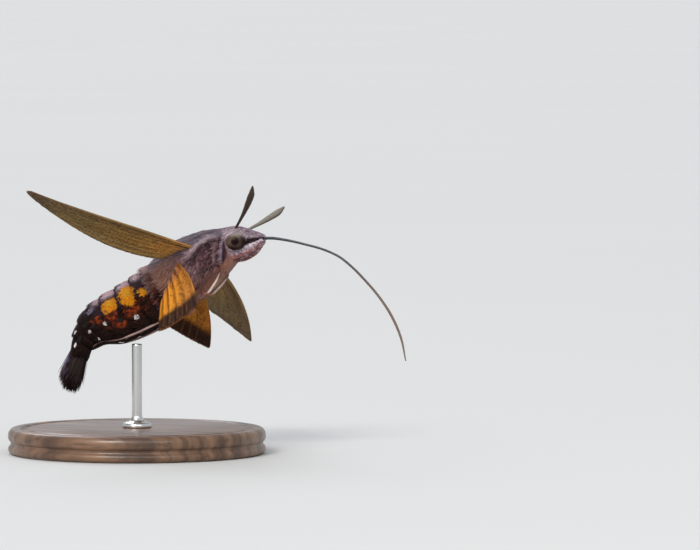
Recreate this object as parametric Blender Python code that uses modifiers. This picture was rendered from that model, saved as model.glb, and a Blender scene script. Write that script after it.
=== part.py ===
"""A hummingbird hawk moth hovering over a small display stand, at life size.

The moth is modelled in its own frame: +X towards the head, +Y to its left, +Z towards its back,
with the origin in the middle of the thorax. The empty "moth" banks it and lifts it over the stand.
The world's origin is the middle of the stand's underside. Sizes are millimetres times MM.
"""

import math
import random

import bmesh
import bpy
import numpy as np
from mathutils import Matrix, Vector

MM = 0.001
GAP = 0.3 * MM  # air between pieces that meet

# How the moth hangs over its stand
MOTH_PLACE = Vector((6.2, 2.1, 21.6)) * MM
BANK = math.radians(15)  # its right side is the higher one

# The body's middle line in the plane that divides left from right: forward and up, brow to tail
SPINE = (
    (9.0, 3.75),
    (5.2, 3.2),
    (2.6, 1.9),
    (0.0, 0.0),
    (-3.2, -2.5),
    (-6.4, -4.65),
    (-9.2, -6.2),
    (-11.4, -7.4),
    (-12.8, -9.1),
    (-13.2, -11.2),
    (-14.1, -15.0),
)
# Distance back along the middle line, half width, height above the line, depth below it
GIRTHS = (
    (0.35, 0.42, 0.46, 0.36),  # tip of the snout
    (0.9, 0.72, 0.74, 0.56),
    (2.0, 1.35, 1.22, 1.05),
    (3.4, 2.05, 1.90, 1.75),  # over the eyes
    (5.0, 2.50, 2.40, 2.55),  # neck, under its collar of hair
    (7.0, 3.30, 3.30, 3.35),
    (9.5, 3.90, 4.10, 3.95),  # wing roots
    (12.3, 3.85, 4.00, 3.85),
    (14.0, 3.60, 3.60, 3.75),  # waist
    (18.0, 3.60, 3.30, 3.45),
    (21.0, 3.40, 3.10, 3.05),
    (23.3, 2.85, 2.65, 2.25),
    (25.6, 1.90, 1.55, 1.50),
    (27.5, 1.60, 0.85, 0.90),  # root of the tail fan
)
BODY_SIDES = 28
HEAD_SPAN = (0.35, 5.0)
THORAX_SPAN = (5.3, 13.7)
SEGMENT_ENDS = (14.9, 16.6, 18.8, 21.1, 22.9, 24.3, 25.6)  # the abdomen's seven rings
ABDOMEN_START = 14.0
REAR_START = 21.4  # the abdomen is parted here into two lengths
SEGMENT_FLARE = 0.14 * MM  # how far each ring's hind edge stands over the next

EYE_PLACE = Vector((5.5, 1.62, 2.9)) * MM  # the left eye
EYE_RADII = Vector((1.28, 0.95, 1.2)) * MM

PALP_LINE = ((4.7, 1.0, 1.25), (6.1, 0.95, 1.7), (7.3, 0.78, 2.25), (8.2, 0.6, 2.8))
PALP_HALF_WIDTHS = (0.45, 0.55, 0.5, 0.28)
PALP_HALF_DEPTHS = (0.5, 0.8, 0.75, 0.3)

ANTENNA_ROOT = Vector((5.0, 0.85, 4.3)) * MM
ANTENNA_LENGTH = 7.2 * MM
ANTENNA_RADII = (0.26, 0.27, 0.33, 0.42, 0.46, 0.40, 0.24)  # club, then the hooked tip

PROBOSCIS_LINE = (
    (8.3, 3.66),
    (9.2, 3.72),
    (11.0, 3.55),
    (13.6, 3.05),
    (16.1, 2.42),
    (18.0, 1.62),
    (19.6, 0.5),
    (21.2, -0.9),
    (23.2, -2.9),
    (25.0, -5.2),
    (26.4, -7.8),
    (27.2, -10.4),
)
PROBOSCIS_RADIUS = 0.25 * MM

# Distance along the body, angle from the back and lift of each leg's joints, root first
LEG_LINES = {
    "foreleg": (
        (7.0, 160, -0.6),
        (6.8, 158, 0.5),
        (6.4, 151, 0.62),
        (6.2, 142, 0.7),
        (6.4, 132, 0.7),
        (7.6, 126, 0.6),
        (9.4, 126, 0.55),
    ),
    "midleg": (
        (9.9, 167, -0.6),
        (9.6, 165, 0.5),
        (8.7, 161, 0.6),
        (8.0, 156, 0.68),
        (7.7, 149, 0.72),
        (8.2, 144, 0.65),
        (9.6, 146, 0.55),
        (11.2, 149, 0.55),
        (12.9, 143, 0.55),
    ),
    "hindleg": (
        (12.0, 165, -0.6),
        (12.6, 164, 0.6),
        (15.2, 158, 0.6),
        (18.0, 154, 0.6),
        (21.5, 156, 0.7),
        (24.2, 159, 0.75),
        (26.0, 160, 0.9),
    ),
}
LEG_RADIUS = 0.27 * MM

MEMBRANE = 0.5 * MM
VEIN_RISE = 0.13 * MM  # on each face
VEIN_HALF_WIDTH = 0.035  # as a share of the wing's width
CROSS_VEIN_AT = 0.5  # as a share of the wing's length
ROOT_SINK = 1.3 * MM  # how far a wing's root runs on into the body before it is cut to it
FOREWING_ROOT = (1.0, 3.0, 1.9)
HINDWING_ROOT = (-0.9, 3.0, 0.2)
WING_COUNTS = ("rear_at", "fill", "veins", "stations")  # the wing shapes' values that aren't lengths
FOREWING = {
    "length": 23.5,
    "chord": 8.4,
    "rear_at": 0.62,
    "fill": 0.85,
    "root_chord": 2.4,
    "arch": 0.9,
    "bulge": 1.2,
    "camber": 0.45,
    "veins": 8,
    "stations": 12,
}
HINDWING = {
    "length": 12.5,
    "chord": 6.8,
    "rear_at": 0.4,
    "fill": 0.4,
    "root_chord": 2.0,
    "arch": 0.5,
    "bulge": 1.0,
    "camber": 0.3,
    "veins": 6,
    "stations": 8,
}
# Degrees swept back, raised and nose-up at the root and at the tip, and the tip's bend up in mm
WING_POSES = {
    "forewing_right": {"sweep": 31, "lift": -2, "twist": (28, 1), "flex": 2.8},
    "forewing_left": {"sweep": 5, "lift": -12, "twist": (5, -20), "flex": -1.0},
    "hindwing_right": {"sweep": -39, "lift": -30, "twist": (78, 76), "flex": -0.3},
    "hindwing_left": {"sweep": 4, "lift": -32, "twist": (5, 5), "flex": -0.5},
}

FRONT_TUFTS = ((18.0, 129),)  # each side tuft's distance back, and its angle from the back
REAR_TUFTS = ((21.9, 113), (23.4, 90), (24.4, 112))
SIDE_TUFT_SINK = 0.4 * MM
SIDE_TUFT_LENGTH = 1.7 * MM
SIDE_TUFT_WIDTH = 1.1 * MM
SIDE_TUFT_THICKNESS = 0.65 * MM
SIDE_TUFT_RISE = 0.5  # how far it leans out for each length back

TAIL_ROOT = 26.4
TAIL_LEAN = math.radians(8)  # how far the fan leans back from the body's middle line
TAIL_TIERS = (  # locks, half spread in degrees, length, height above the middle line
    (8, 19, 5.6, -0.42),
    (7, 16, 5.2, 0.12),
    (5, 11, 4.2, 0.62),
)
TAIL_ROOT_SPREAD = 0.85  # half the width over which the locks' roots are spread
LOCK_WIDTH = 1.35 * MM
LOCK_THICKNESS = 0.5 * MM
LOCK_SECTIONS = ((0, 0.7, 1), (0.4, 1, 1), (0.75, 0.95, 0.9), (1, 0.45, 0.5))  # share, width, thickness

BASE_RADIUS = 15.0 * MM
BASE_HEIGHT = 3.0 * MM
BASE_EDGE = 0.5 * MM
ROD_RADIUS = 0.6 * MM
ROD_FOOT_RADIUS = 1.7 * MM
ROD_FOOT_HEIGHT = 0.7 * MM
ROD_BLANK_HEIGHT = 16.0 * MM  # ends inside the body, before it is cut

COLOURS = {  # base colour, roughness, metallic
    "grey_pile": ((0.26, 0.20, 0.21), 0.9, 0.0),
    "pale_pile": ((0.55, 0.42, 0.42), 0.9, 0.0),
    "dark_scales": ((0.055, 0.035, 0.04), 0.8, 0.0),
    "banded_scales": ((0.22, 0.12, 0.07), 0.85, 0.0),
    "forewing_scales": ((0.24, 0.15, 0.08), 0.8, 0.0),
    "hindwing_scales": ((0.72, 0.34, 0.04), 0.8, 0.0),
    "eye": ((0.09, 0.07, 0.06), 0.25, 0.0),
    "horny": ((0.03, 0.03, 0.035), 0.35, 0.0),
    "leg_scales": ((0.42, 0.34, 0.28), 0.7, 0.0),
    "stand_wood": ((0.09, 0.045, 0.025), 0.4, 0.0),
    "stand_metal": ((0.75, 0.72, 0.66), 0.3, 1.0),
}


def cleared_scene():
    """An empty scene with one collection for the model and one for its cutters."""
    for old in list(bpy.data.objects):
        bpy.data.objects.remove(old)
    model = bpy.data.collections.new("hummingbird_hawk_moth")
    cutters = bpy.data.collections.new("cutters")
    for group in (model, cutters):
        bpy.context.scene.collection.children.link(group)
    moth = bpy.data.objects.new("moth", None)
    moth.location = MOTH_PLACE
    moth.rotation_euler = (-BANK, 0, 0)
    model.objects.link(moth)
    bpy.context.view_layer.update()
    return model, cutters, moth


MODEL, CUTTERS, MOTH = cleared_scene()


def smooth_value(x, xs, ys):
    """The value at x of a smooth curve through the points (xs, ys), flat beyond its ends."""
    xs = np.asarray(xs, float)
    ys = np.asarray(ys, float)
    x = min(max(x, xs[0]), xs[-1])
    slopes = np.gradient(ys, xs)
    k = min(int(np.searchsorted(xs, x, side="right")) - 1, len(xs) - 2)
    width = xs[k + 1] - xs[k]
    t = (x - xs[k]) / width
    start = (1 + 2 * t) * (1 - t) ** 2 * ys[k] + t * (1 - t) ** 2 * width * slopes[k]
    end = t * t * (3 - 2 * t) * ys[k + 1] - t * t * (1 - t) * width * slopes[k + 1]
    return float(start + end)


def path_lengths(points):
    """The distance along a line of points at each of them."""
    steps = [(Vector(b) - Vector(a)).length for a, b in zip(points, points[1:])]
    return np.concatenate([[0.0], np.cumsum(steps)])


def along(points, share):
    """The point at this share of the smooth curve through points."""
    lengths = path_lengths(points)
    at = share * lengths[-1]
    return Vector([smooth_value(at, lengths, axis) for axis in zip(*points)])


SPINE_LENGTHS = path_lengths(SPINE)


def spine_frame(distance):
    """The middle line's point there, and the unit directions forward and towards the back."""

    def at(where):
        forward, up = (smooth_value(where, SPINE_LENGTHS, axis) for axis in zip(*SPINE))
        return Vector((forward, 0, up)) * MM

    step = 0.05
    forward = (at(distance - step) - at(distance + step)).normalized()
    return at(distance), forward, Vector((-forward.z, 0, forward.x))


def girth(distance, grow=0.0):
    """Half width, height above the middle line and depth below it, in metres."""
    columns = list(zip(*GIRTHS))
    return [smooth_value(distance, columns[0], c) * MM + grow for c in columns[1:]]


def body_point(distance, angle, lift=0.0, side=1):
    """A point over the body's surface. angle is in degrees from the middle of the back; side 1 is left."""
    centre, _, up = spine_frame(distance)
    width, above, below = girth(distance)
    turn = math.radians(angle)
    height = above if math.cos(turn) > 0 else below
    across = Vector((0, side * math.sin(turn) * (width + lift), 0))
    return centre + across + up * math.cos(turn) * (height + lift)


def body_ring(distance, grow=0.0):
    """The closed outline of the body square to its middle line."""
    centre, _, up = spine_frame(distance)
    width, above, below = girth(distance, grow)
    ring = []
    for k in range(BODY_SIDES):
        turn = 2 * math.pi * k / BODY_SIDES
        height = above if math.cos(turn) > 0 else below
        ring.append(centre + up * math.cos(turn) * height + Vector((0, math.sin(turn) * width, 0)))
    return ring


def add_object(name, mesh, group=MODEL, parent=MOTH):
    """Links a mesh to the scene under its name."""
    data = bpy.data.meshes.new(name)
    mesh.to_mesh(data)
    mesh.free()
    made = bpy.data.objects.new(name, data)
    made.parent = parent
    group.objects.link(made)
    return made


def loft(name, rings, group=MODEL, triangles=False):
    """A closed skin through rings of equal count, with a flat cap at each end."""
    mesh = bmesh.new()
    rows = [[mesh.verts.new(point) for point in ring] for ring in rings]
    for near, far in zip(rows, rows[1:]):
        for k in range(len(near)):
            n = (k + 1) % len(near)
            mesh.faces.new((near[k], near[n], far[n], far[k]))
    mesh.faces.new(rows[0])
    mesh.faces.new(rows[-1][::-1])
    bmesh.ops.recalc_face_normals(mesh, faces=mesh.faces)
    if triangles:
        bmesh.ops.triangulate(mesh, faces=mesh.faces)
    return add_object(name, mesh, group)


def as_cutter(piece):
    """Marks a piece as a shape that only cuts others."""
    piece.hide_render = True
    piece.display_type = "WIRE"
    return piece


def keep_largest(piece):
    """Drops every closed surface of a mesh object but the one that holds most."""
    mesh = bmesh.new()
    mesh.from_mesh(piece.data)
    left = set(mesh.faces)
    bodies = []
    while left:
        reached = [left.pop()]
        body = list(reached)
        while reached:
            face = reached.pop()
            for edge in face.edges:
                for other in edge.link_faces:
                    if other in left:
                        left.remove(other)
                        reached.append(other)
                        body.append(other)
        bodies.append(body)

    def volume(faces):
        return sum(f.calc_area() * f.normal.dot(f.calc_center_median()) for f in faces)

    bodies.sort(key=volume)
    loose = [face for body in bodies[:-1] for face in body]
    bmesh.ops.delete(mesh, geom=loose, context="FACES")
    mesh.to_mesh(piece.data)
    mesh.free()


def settle(piece):
    """Applies a piece's modifiers and keeps its largest closed surface."""
    bpy.context.view_layer.update()
    graph = bpy.context.evaluated_depsgraph_get()
    solid = bpy.data.meshes.new_from_object(piece.evaluated_get(graph))
    piece.modifiers.clear()
    piece.data = solid
    keep_largest(piece)
    return piece


def cut_by(piece, *cutters):
    """Takes each cutter's shape away from the piece."""
    for cutter in cutters:
        cut = piece.modifiers.new("clear_of_" + cutter.name, "BOOLEAN")
        cut.operation = "DIFFERENCE"
        cut.object = cutter
    return settle(piece)


def fused(piece, others):
    """Joins the other pieces to this one by one Boolean union, and removes them."""
    group = bpy.data.collections.new("joined_to_" + piece.name)
    bpy.context.scene.collection.children.link(group)
    for other in others:
        for holder in list(other.users_collection):
            holder.objects.unlink(other)
        group.objects.link(other)
    join = piece.modifiers.new("union", "BOOLEAN")
    join.operation = "UNION"
    join.operand_type = "COLLECTION"
    join.collection = group
    settle(piece)
    for other in others:
        bpy.data.objects.remove(other)
    bpy.data.collections.remove(group)
    return piece


def tube(name, points, radii, group=MODEL, parent=MOTH):
    """A round bar along a smooth line of points, as a mesh with its caps welded on."""
    curve = bpy.data.curves.new(name, "CURVE")
    curve.dimensions = "3D"
    curve.bevel_depth = 1.0
    curve.bevel_resolution = 2
    curve.use_fill_caps = True
    spline = curve.splines.new("POLY")
    spline.points.add(len(points) - 1)
    for knot, point, radius in zip(spline.points, points, radii):
        knot.co = (*point, 1)
        knot.radius = radius
    bar = bpy.data.objects.new(name, curve)
    group.objects.link(bar)
    bpy.context.view_layer.update()
    graph = bpy.context.evaluated_depsgraph_get()
    mesh = bmesh.new()
    mesh.from_mesh(bpy.data.meshes.new_from_object(bar.evaluated_get(graph)))
    bmesh.ops.remove_doubles(mesh, verts=mesh.verts, dist=0.01 * MM)
    bpy.data.objects.remove(bar)
    return add_object(name, mesh, group, parent)


def ellipsoid(name, centre, radii, group=MODEL, across=18, down=12):
    """A closed ellipsoid."""
    mesh = bmesh.new()
    place = Matrix.Translation(centre) @ Matrix.Diagonal((*radii, 1))
    bmesh.ops.create_uvsphere(mesh, u_segments=across, v_segments=down, radius=1, matrix=place)
    return add_object(name, mesh, group)


def turned(name, profile, steps, place):
    """A shape turned about the upright axis: its profile runs from the top down the outer side."""
    mesh = bmesh.new()
    points = [mesh.verts.new((radius, 0, height)) for radius, height in profile]
    for a, b in zip(points, points[1:]):
        mesh.edges.new((a, b))
    made = add_object(name, mesh, MODEL, None)
    made.location = place
    screw = made.modifiers.new("turn", "SCREW")
    screw.steps = steps
    screw.render_steps = steps
    screw.use_merge_vertices = True
    screw.merge_threshold = 0.01 * MM
    return made


def finish(piece, slot, smooth=True):
    """Gives a piece its own material and smooth shading between sharp edges."""
    colour, roughness, metallic = COLOURS[slot]
    material = bpy.data.materials.new(piece.name + "_" + slot)
    material.use_nodes = True
    shader = material.node_tree.nodes["Principled BSDF"]
    shader.inputs["Base Color"].default_value = (*colour, 1)
    shader.inputs["Roughness"].default_value = roughness
    shader.inputs["Metallic"].default_value = metallic
    piece.data.materials.clear()
    piece.data.materials.append(material)
    if smooth:
        piece.data.shade_smooth()
        piece.data.set_sharp_from_angle(angle=math.radians(40))
    return piece


def spaced(start, end, step):
    """Evenly spaced values from start to end, about step apart."""
    count = max(1, round((end - start) / step))
    return [start + (end - start) * k / count for k in range(count + 1)]


def abdomen_rings(start, end):
    """The stepped outlines of the abdomen's rings between two distances."""
    rings = []
    front = start
    for back in [e for e in SEGMENT_ENDS if start < e <= end + 0.01]:
        for share, grow in ((0.0, -0.5), (0.45, 0.1), (0.93, 1.0)):
            at = front + (back - front) * share
            rings.append(body_ring(at, SEGMENT_FLARE * grow))
        rings.append(body_ring(back - 0.02, SEGMENT_FLARE * 0.55))
        front = back
    return rings


def body_clearance():
    """The whole body grown by the gap, to cut what meets it."""
    span = spaced(HEAD_SPAN[0] - 0.3, GIRTHS[-1][0], 0.9)
    rings = [body_ring(at, GAP + (SEGMENT_FLARE if at > ABDOMEN_START else 0)) for at in span]
    return as_cutter(loft("body_clearance", rings, CUTTERS))


def mirrored(point, side):
    """A point on the left, or its twin on the right where side is -1."""
    return Vector((point[0], side * point[1], point[2]))


def make_head():
    """The head with a socket for each eye, and the eyes in them."""
    rings = [body_ring(at) for at in spaced(*HEAD_SPAN, 0.45)]
    head = loft("head", rings)
    sockets = []
    for side, word in ((1, "left"), (-1, "right")):
        place = mirrored(EYE_PLACE, side)
        grown = EYE_RADII + Vector((GAP, GAP, GAP))
        sockets.append(as_cutter(ellipsoid("socket_" + word, place, grown, CUTTERS)))
        finish(ellipsoid("eye_" + word, place, EYE_RADII), "eye")
    finish(cut_by(head, *sockets), "grey_pile")


def make_palps(clearance):
    """The two upturned palps that close the face from below and hold the root of the proboscis."""
    for side, word in ((1, "left"), (-1, "right")):
        line = [mirrored(p, side) * MM for p in PALP_LINE]
        shares = path_lengths(line) / path_lengths(line)[-1]
        rings = []
        for share in spaced(0.0, 1.0, 0.1):
            centre = along(line, share)
            ahead = (along(line, min(share + 0.02, 1)) - along(line, max(share - 0.02, 0))).normalized()
            across = Vector((0, 1, 0))
            up = ahead.cross(across).normalized()
            width = smooth_value(share, shares, PALP_HALF_WIDTHS) * MM
            depth = smooth_value(share, shares, PALP_HALF_DEPTHS) * MM
            turns = [2 * math.pi * k / 12 for k in range(12)]
            rings.append([centre + across * width * math.cos(t) + up * depth * math.sin(t) for t in turns])
        finish(cut_by(loft("palp_" + word, rings), clearance), "pale_pile")


def make_antennae(clearance):
    """The two clubbed antennae, raised, spread and ending in a small hook."""
    for side, word in ((1, "left"), (-1, "right")):
        root = mirrored(ANTENNA_ROOT, side)
        ahead = Vector((0.52, 0.62 * side, 0.59)).normalized()
        back = Vector((-0.35, 0.2 * side, 0.3))
        points = []
        for share in spaced(0.0, 1.0, 1 / 15):
            bow = 0.05 * math.sin(math.pi * share) - 0.06 * max(0, share - 0.85) / 0.15
            points.append(root + (ahead * share - back * bow) * ANTENNA_LENGTH)
        widths = np.linspace(0, 1, len(ANTENNA_RADII))
        radii = [smooth_value(s, widths, ANTENNA_RADII) * MM for s in spaced(0.0, 1.0, 1 / 15)]
        finish(cut_by(tube("antenna_" + word, points, radii), clearance), "dark_scales")


def make_proboscis(clearance):
    """The long tongue, uncoiled: straight out of the face, then down in one even bend."""
    line = [Vector((forward, 0, up)) * MM for forward, up in PROBOSCIS_LINE]
    shares = spaced(0.0, 1.0, 1 / 34)
    radii = [PROBOSCIS_RADIUS * (1 - 0.3 * max(0, s - 0.9) / 0.1) for s in shares]
    piece = tube("proboscis", [along(line, s) for s in shares], radii)
    finish(cut_by(piece, clearance), "horny")


def make_thorax():
    """The thick middle of the body, which carries the wings and legs."""
    rings = [body_ring(at) for at in spaced(*THORAX_SPAN, 0.75)]
    finish(loft("thorax", rings), "grey_pile")


def lock(name, root, ahead, across, length, width, thickness, bow, group=MODEL):
    """A flat, tapered lock of long scales from its root out, bending by bow over its length."""
    normal = ahead.cross(across).normalized()
    rings = []
    for share, wide, thick in LOCK_SECTIONS:
        centre = root + ahead * length * share + normal * bow * share * share
        half = across * width * wide / 2
        rise = normal * thickness * thick / 2
        rings.append([centre + half, centre + rise, centre - half, centre - rise])
    return loft(name, rings, group, triangles=True)


def side_tufts(places):
    """A short lock of scales on each side at each of these places, leaning out and back."""
    tufts = []
    for side in (1, -1):
        for at, angle in places:
            _, forward, _ = spine_frame(at)
            root = body_point(at, angle, -SIDE_TUFT_SINK, side)
            outward = (body_point(at, angle, 0, side) - root).normalized()
            ahead = (outward * SIDE_TUFT_RISE - forward).normalized()
            across = ahead.cross(outward).normalized()
            tufts.append(lock("tuft", root, ahead, across, SIDE_TUFT_LENGTH, SIDE_TUFT_WIDTH, SIDE_TUFT_THICKNESS, 0))
    return tufts


def make_abdomen():
    """The ringed abdomen in two lengths, each with its side tufts."""
    front = loft("abdomen_front", abdomen_rings(ABDOMEN_START, REAR_START - 0.3))
    finish(fused(front, side_tufts(FRONT_TUFTS)), "banded_scales")
    rear = loft("abdomen_rear", abdomen_rings(REAR_START, SEGMENT_ENDS[-1]))
    finish(fused(rear, side_tufts(REAR_TUFTS)), "dark_scales")


def make_tail():
    """The fan of long scales: tiers of flat locks that overlap, on a short core."""
    centre, forward, up = spine_frame(TAIL_ROOT)
    rearward = up * math.sin(TAIL_LEAN) - forward * math.cos(TAIL_LEAN)
    core = loft("tail_fan", [body_ring(at, -0.05 * MM) for at in (25.9, 26.5, 27.2, 27.9)])
    draw = random.Random(11)
    locks = []
    for count, spread, length, height in TAIL_TIERS:
        for k in range(count):
            share = 2 * k / (count - 1) - 1
            turn = math.radians(spread * share)
            ahead = rearward * math.cos(turn) + Vector((0, math.sin(turn), 0))
            across = ahead.cross(up).normalized()
            root = centre + up * (height - 0.1 * (k % 2)) * MM
            root += Vector((0, TAIL_ROOT_SPREAD * share, 0)) * MM
            reach = length * MM * (1 - 0.22 * share * share) * draw.uniform(0.94, 1.04)
            bow = draw.uniform(-0.12, 0.12) * MM
            locks.append(lock("lock", root, ahead, across, reach, LOCK_WIDTH, LOCK_THICKNESS, bow))
    finish(fused(core, locks), "dark_scales")


class Wing:
    """A wing's outline, curve and pose. Its root lies in the body's side."""

    def __init__(self, root, shape, pose, side):
        self.root = mirrored(root, side) * MM
        self.shape = shape
        self.sizes = {word: value * MM for word, value in shape.items() if word not in WING_COUNTS}
        self.flex = pose["flex"] * MM
        self.twist = [math.radians(a) for a in pose["twist"]]
        sweep, lift = math.radians(pose["sweep"]), math.radians(pose["lift"])
        flat = math.cos(lift)
        self.out = Vector((-math.sin(sweep) * flat, side * math.cos(sweep) * flat, math.sin(lift)))
        self.lead = Vector((math.cos(sweep), side * math.sin(sweep), 0))
        self.up = self.out.cross(self.lead) * -side

    def point(self, reach, across, height):
        """A point at these shares of the length and width, at this height over the mid surface."""
        size = self.sizes
        spread = max(reach, 0)
        arch = size["arch"] * (math.sin(math.pi * spread) - 0.9 * spread**4)
        front = Vector((reach * size["length"], arch))
        fill = spread ** self.shape["fill"]
        rear_width = size["root_chord"] + (size["chord"] - size["root_chord"]) * fill
        rear = Vector((reach * self.shape["rear_at"] * size["length"], -rear_width))
        flat = front.lerp(rear, across)
        outward = (front - rear).orthogonal().normalized()
        outward *= math.copysign(1, outward.x)
        flat += outward * size["bulge"] * 4 * across * (1 - across) * spread**3
        height += size["camber"] * math.sin(math.pi * across) * (0.3 + spread)
        twist = self.twist[0] + (self.twist[1] - self.twist[0]) * spread
        lead = flat.y * math.cos(twist) - height * math.sin(twist)
        rise = flat.y * math.sin(twist) + height * math.cos(twist) + self.flex * spread**2
        return self.root + self.out * flat.x + self.lead * lead + self.up * rise


def wing_lines(veins):
    """Shares across the wing with how far a vein rises there: each vein has a foot on both sides."""
    lines = []
    for k in range(veins):
        middle = k / (veins - 1)
        for offset, rise in ((-VEIN_HALF_WIDTH, 0), (0, 1), (VEIN_HALF_WIDTH, 0)):
            if 0 <= middle + offset <= 1:
                lines.append((middle + offset, rise))
    return lines


def wing_grid(mesh, wing, lines, stations, top):
    """One face of the membrane, as rows of points from the root to the tip, with its triangles."""
    rows = []
    for i in range(stations + 1):
        reach = i / stations
        place = reach if i else -ROOT_SINK / wing.sizes["length"]
        crosses = abs(reach - CROSS_VEIN_AT) < 0.5 / stations
        row = []
        for across, rise in lines:
            cross_vein = 0.8 if crosses and 0.1 < across < 0.6 else 0
            ridge = VEIN_RISE * max(rise, cross_vein) * (1.2 - 0.7 * reach)
            row.append(mesh.verts.new(wing.point(place, across, top * (MEMBRANE / 2 + ridge))))
        rows.append(row)
    for near, far in zip(rows, rows[1:]):
        for k in range(len(lines) - 1):
            mesh.faces.new((near[k], near[k + 1], far[k + 1]))
            mesh.faces.new((near[k], far[k + 1], far[k]))
    return rows


def make_wing(name, wing, slot, clearance):
    """A thin membrane with its veins raised on both faces, split into triangles alike on both."""
    lines = wing_lines(wing.shape["veins"])
    stations = wing.shape["stations"]
    mesh = bmesh.new()
    upper = wing_grid(mesh, wing, lines, stations, 1)
    lower = wing_grid(mesh, wing, lines, stations, -1)
    last = len(lines) - 1
    rim = [(0, k) for k in range(last + 1)]
    rim += [(i, last) for i in range(1, stations + 1)]
    rim += [(stations, k) for k in range(last - 1, -1, -1)]
    rim += [(i, 0) for i in range(stations - 1, 0, -1)]
    for (i, k), (j, n) in zip(rim, rim[1:] + rim[:1]):
        mesh.faces.new((upper[i][k], upper[j][n], lower[j][n]))
        mesh.faces.new((upper[i][k], lower[j][n], lower[i][k]))
    bmesh.ops.recalc_face_normals(mesh, faces=mesh.faces)
    finish(cut_by(add_object(name, mesh), clearance), slot)


def make_wings(clearance):
    """Four wings, each caught at its own moment of the beat: the right pair high, the left pair low."""
    for side, word in ((1, "left"), (-1, "right")):
        fore = Wing(FOREWING_ROOT, FOREWING, WING_POSES["forewing_" + word], side)
        make_wing("forewing_" + word, fore, "forewing_scales", clearance)
        hind = Wing(HINDWING_ROOT, HINDWING, WING_POSES["hindwing_" + word], side)
        make_wing("hindwing_" + word, hind, "hindwing_scales", clearance)


def make_legs(clearance):
    """Three pairs of thin legs, folded under the chest or trailed along the belly."""
    for word, line in LEG_LINES.items():
        for side, name in ((1, "left"), (-1, "right")):
            joints = [body_point(at, angle, lift * MM, side) for at, angle, lift in line]
            shares = spaced(0.0, 1.0, 1 / 18)
            radii = [LEG_RADIUS * (1.15 - 0.15 * s) for s in shares]
            piece = tube(word + "_" + name, [along(joints, s) for s in shares], radii)
            finish(cut_by(piece, clearance), "leg_scales")


def make_stand(clearance):
    """A low turned base and one short rod, cut to the belly's shape just under it."""
    base = [
        (0, BASE_HEIGHT),
        (BASE_RADIUS - BASE_EDGE, BASE_HEIGHT),
        (BASE_RADIUS - BASE_EDGE * 0.3, BASE_HEIGHT - BASE_EDGE * 0.3),
        (BASE_RADIUS, BASE_HEIGHT - BASE_EDGE),
        (BASE_RADIUS, BASE_EDGE * 0.5),
        (BASE_RADIUS - BASE_EDGE * 0.5, 0),
        (0, 0),
    ]
    finish(turned("stand_base", base, 48, (0, 0, 0)), "stand_wood")
    rod = [
        (0, ROD_BLANK_HEIGHT),
        (ROD_RADIUS, ROD_BLANK_HEIGHT),
        (ROD_RADIUS, ROD_FOOT_HEIGHT + ROD_RADIUS * 0.5),
        (ROD_RADIUS * 1.5, ROD_FOOT_HEIGHT),
        (ROD_FOOT_RADIUS, ROD_FOOT_HEIGHT * 0.6),
        (ROD_FOOT_RADIUS, 0),
        (0, 0),
    ]
    stem = turned("stand_rod", rod, 20, (0, 0, BASE_HEIGHT + GAP))
    finish(cut_by(settle(stem), clearance), "stand_metal")


def main():
    """Builds every piece of the moth and its stand."""
    clearance = body_clearance()
    make_head()
    make_palps(clearance)
    make_antennae(clearance)
    make_proboscis(clearance)
    make_thorax()
    make_abdomen()
    make_tail()
    make_wings(clearance)
    make_legs(clearance)
    make_stand(clearance)


main()
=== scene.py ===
"""The looks of a hummingbird hawk moth hovering over a small display stand, at life size.

Shapes are worked out in the moth's own frame in millimetres: +X towards the head, +Y to its left,
+Z towards its back, with the origin in the middle of the thorax. Each piece is then banked and
lifted to its place over the stand, in metres.
"""

import math

import bmesh
import bpy
import numpy as np
from mathutils import Matrix, Vector


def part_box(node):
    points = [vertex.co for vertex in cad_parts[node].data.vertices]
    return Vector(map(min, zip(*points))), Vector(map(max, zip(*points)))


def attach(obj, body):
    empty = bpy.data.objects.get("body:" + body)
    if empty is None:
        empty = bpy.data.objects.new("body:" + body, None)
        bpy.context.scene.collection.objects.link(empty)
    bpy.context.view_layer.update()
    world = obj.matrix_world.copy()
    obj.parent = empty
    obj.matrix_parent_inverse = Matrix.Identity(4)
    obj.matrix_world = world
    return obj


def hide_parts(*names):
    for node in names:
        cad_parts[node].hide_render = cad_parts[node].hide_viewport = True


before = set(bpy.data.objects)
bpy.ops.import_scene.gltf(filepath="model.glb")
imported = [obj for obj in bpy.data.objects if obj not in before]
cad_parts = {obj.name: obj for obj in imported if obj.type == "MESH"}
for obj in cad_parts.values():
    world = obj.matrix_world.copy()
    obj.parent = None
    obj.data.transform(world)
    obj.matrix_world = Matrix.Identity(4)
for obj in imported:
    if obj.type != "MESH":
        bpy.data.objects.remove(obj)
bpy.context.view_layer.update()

MM = 0.001
MOTH_PLACE = Vector((6.2, 2.1, 21.6)) * MM
BANK = math.radians(15)  # its right side is the higher one
MOTH = Matrix.Translation(MOTH_PLACE) @ Matrix.Rotation(-BANK, 4, "X")
LEFT, RIGHT = 1, -1
SIDES = ((LEFT, "left"), (RIGHT, "right"))

# The photo's camera: how far it is turned and raised, and what its frame takes in
VIEW_TURN = math.radians(20)
VIEW_RISE = math.radians(3)
VIEW_DISTANCE = 0.7
VIEW_WIDTH = 0.0814
VIEW_SHIFT = (18.26, -0.81)  # the frame's middle, right of the moth and above it, in mm

# The body's middle line: forward and up, from brow to tail
SPINE = np.array(
    (
        (9.0, 3.75),
        (5.2, 3.2),
        (2.6, 1.9),
        (0.0, 0.0),
        (-3.2, -2.5),
        (-6.4, -4.65),
        (-9.2, -6.2),
        (-11.4, -7.4),
        (-12.8, -9.1),
        (-13.2, -11.2),
        (-14.1, -15.0),
    )
)
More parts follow.
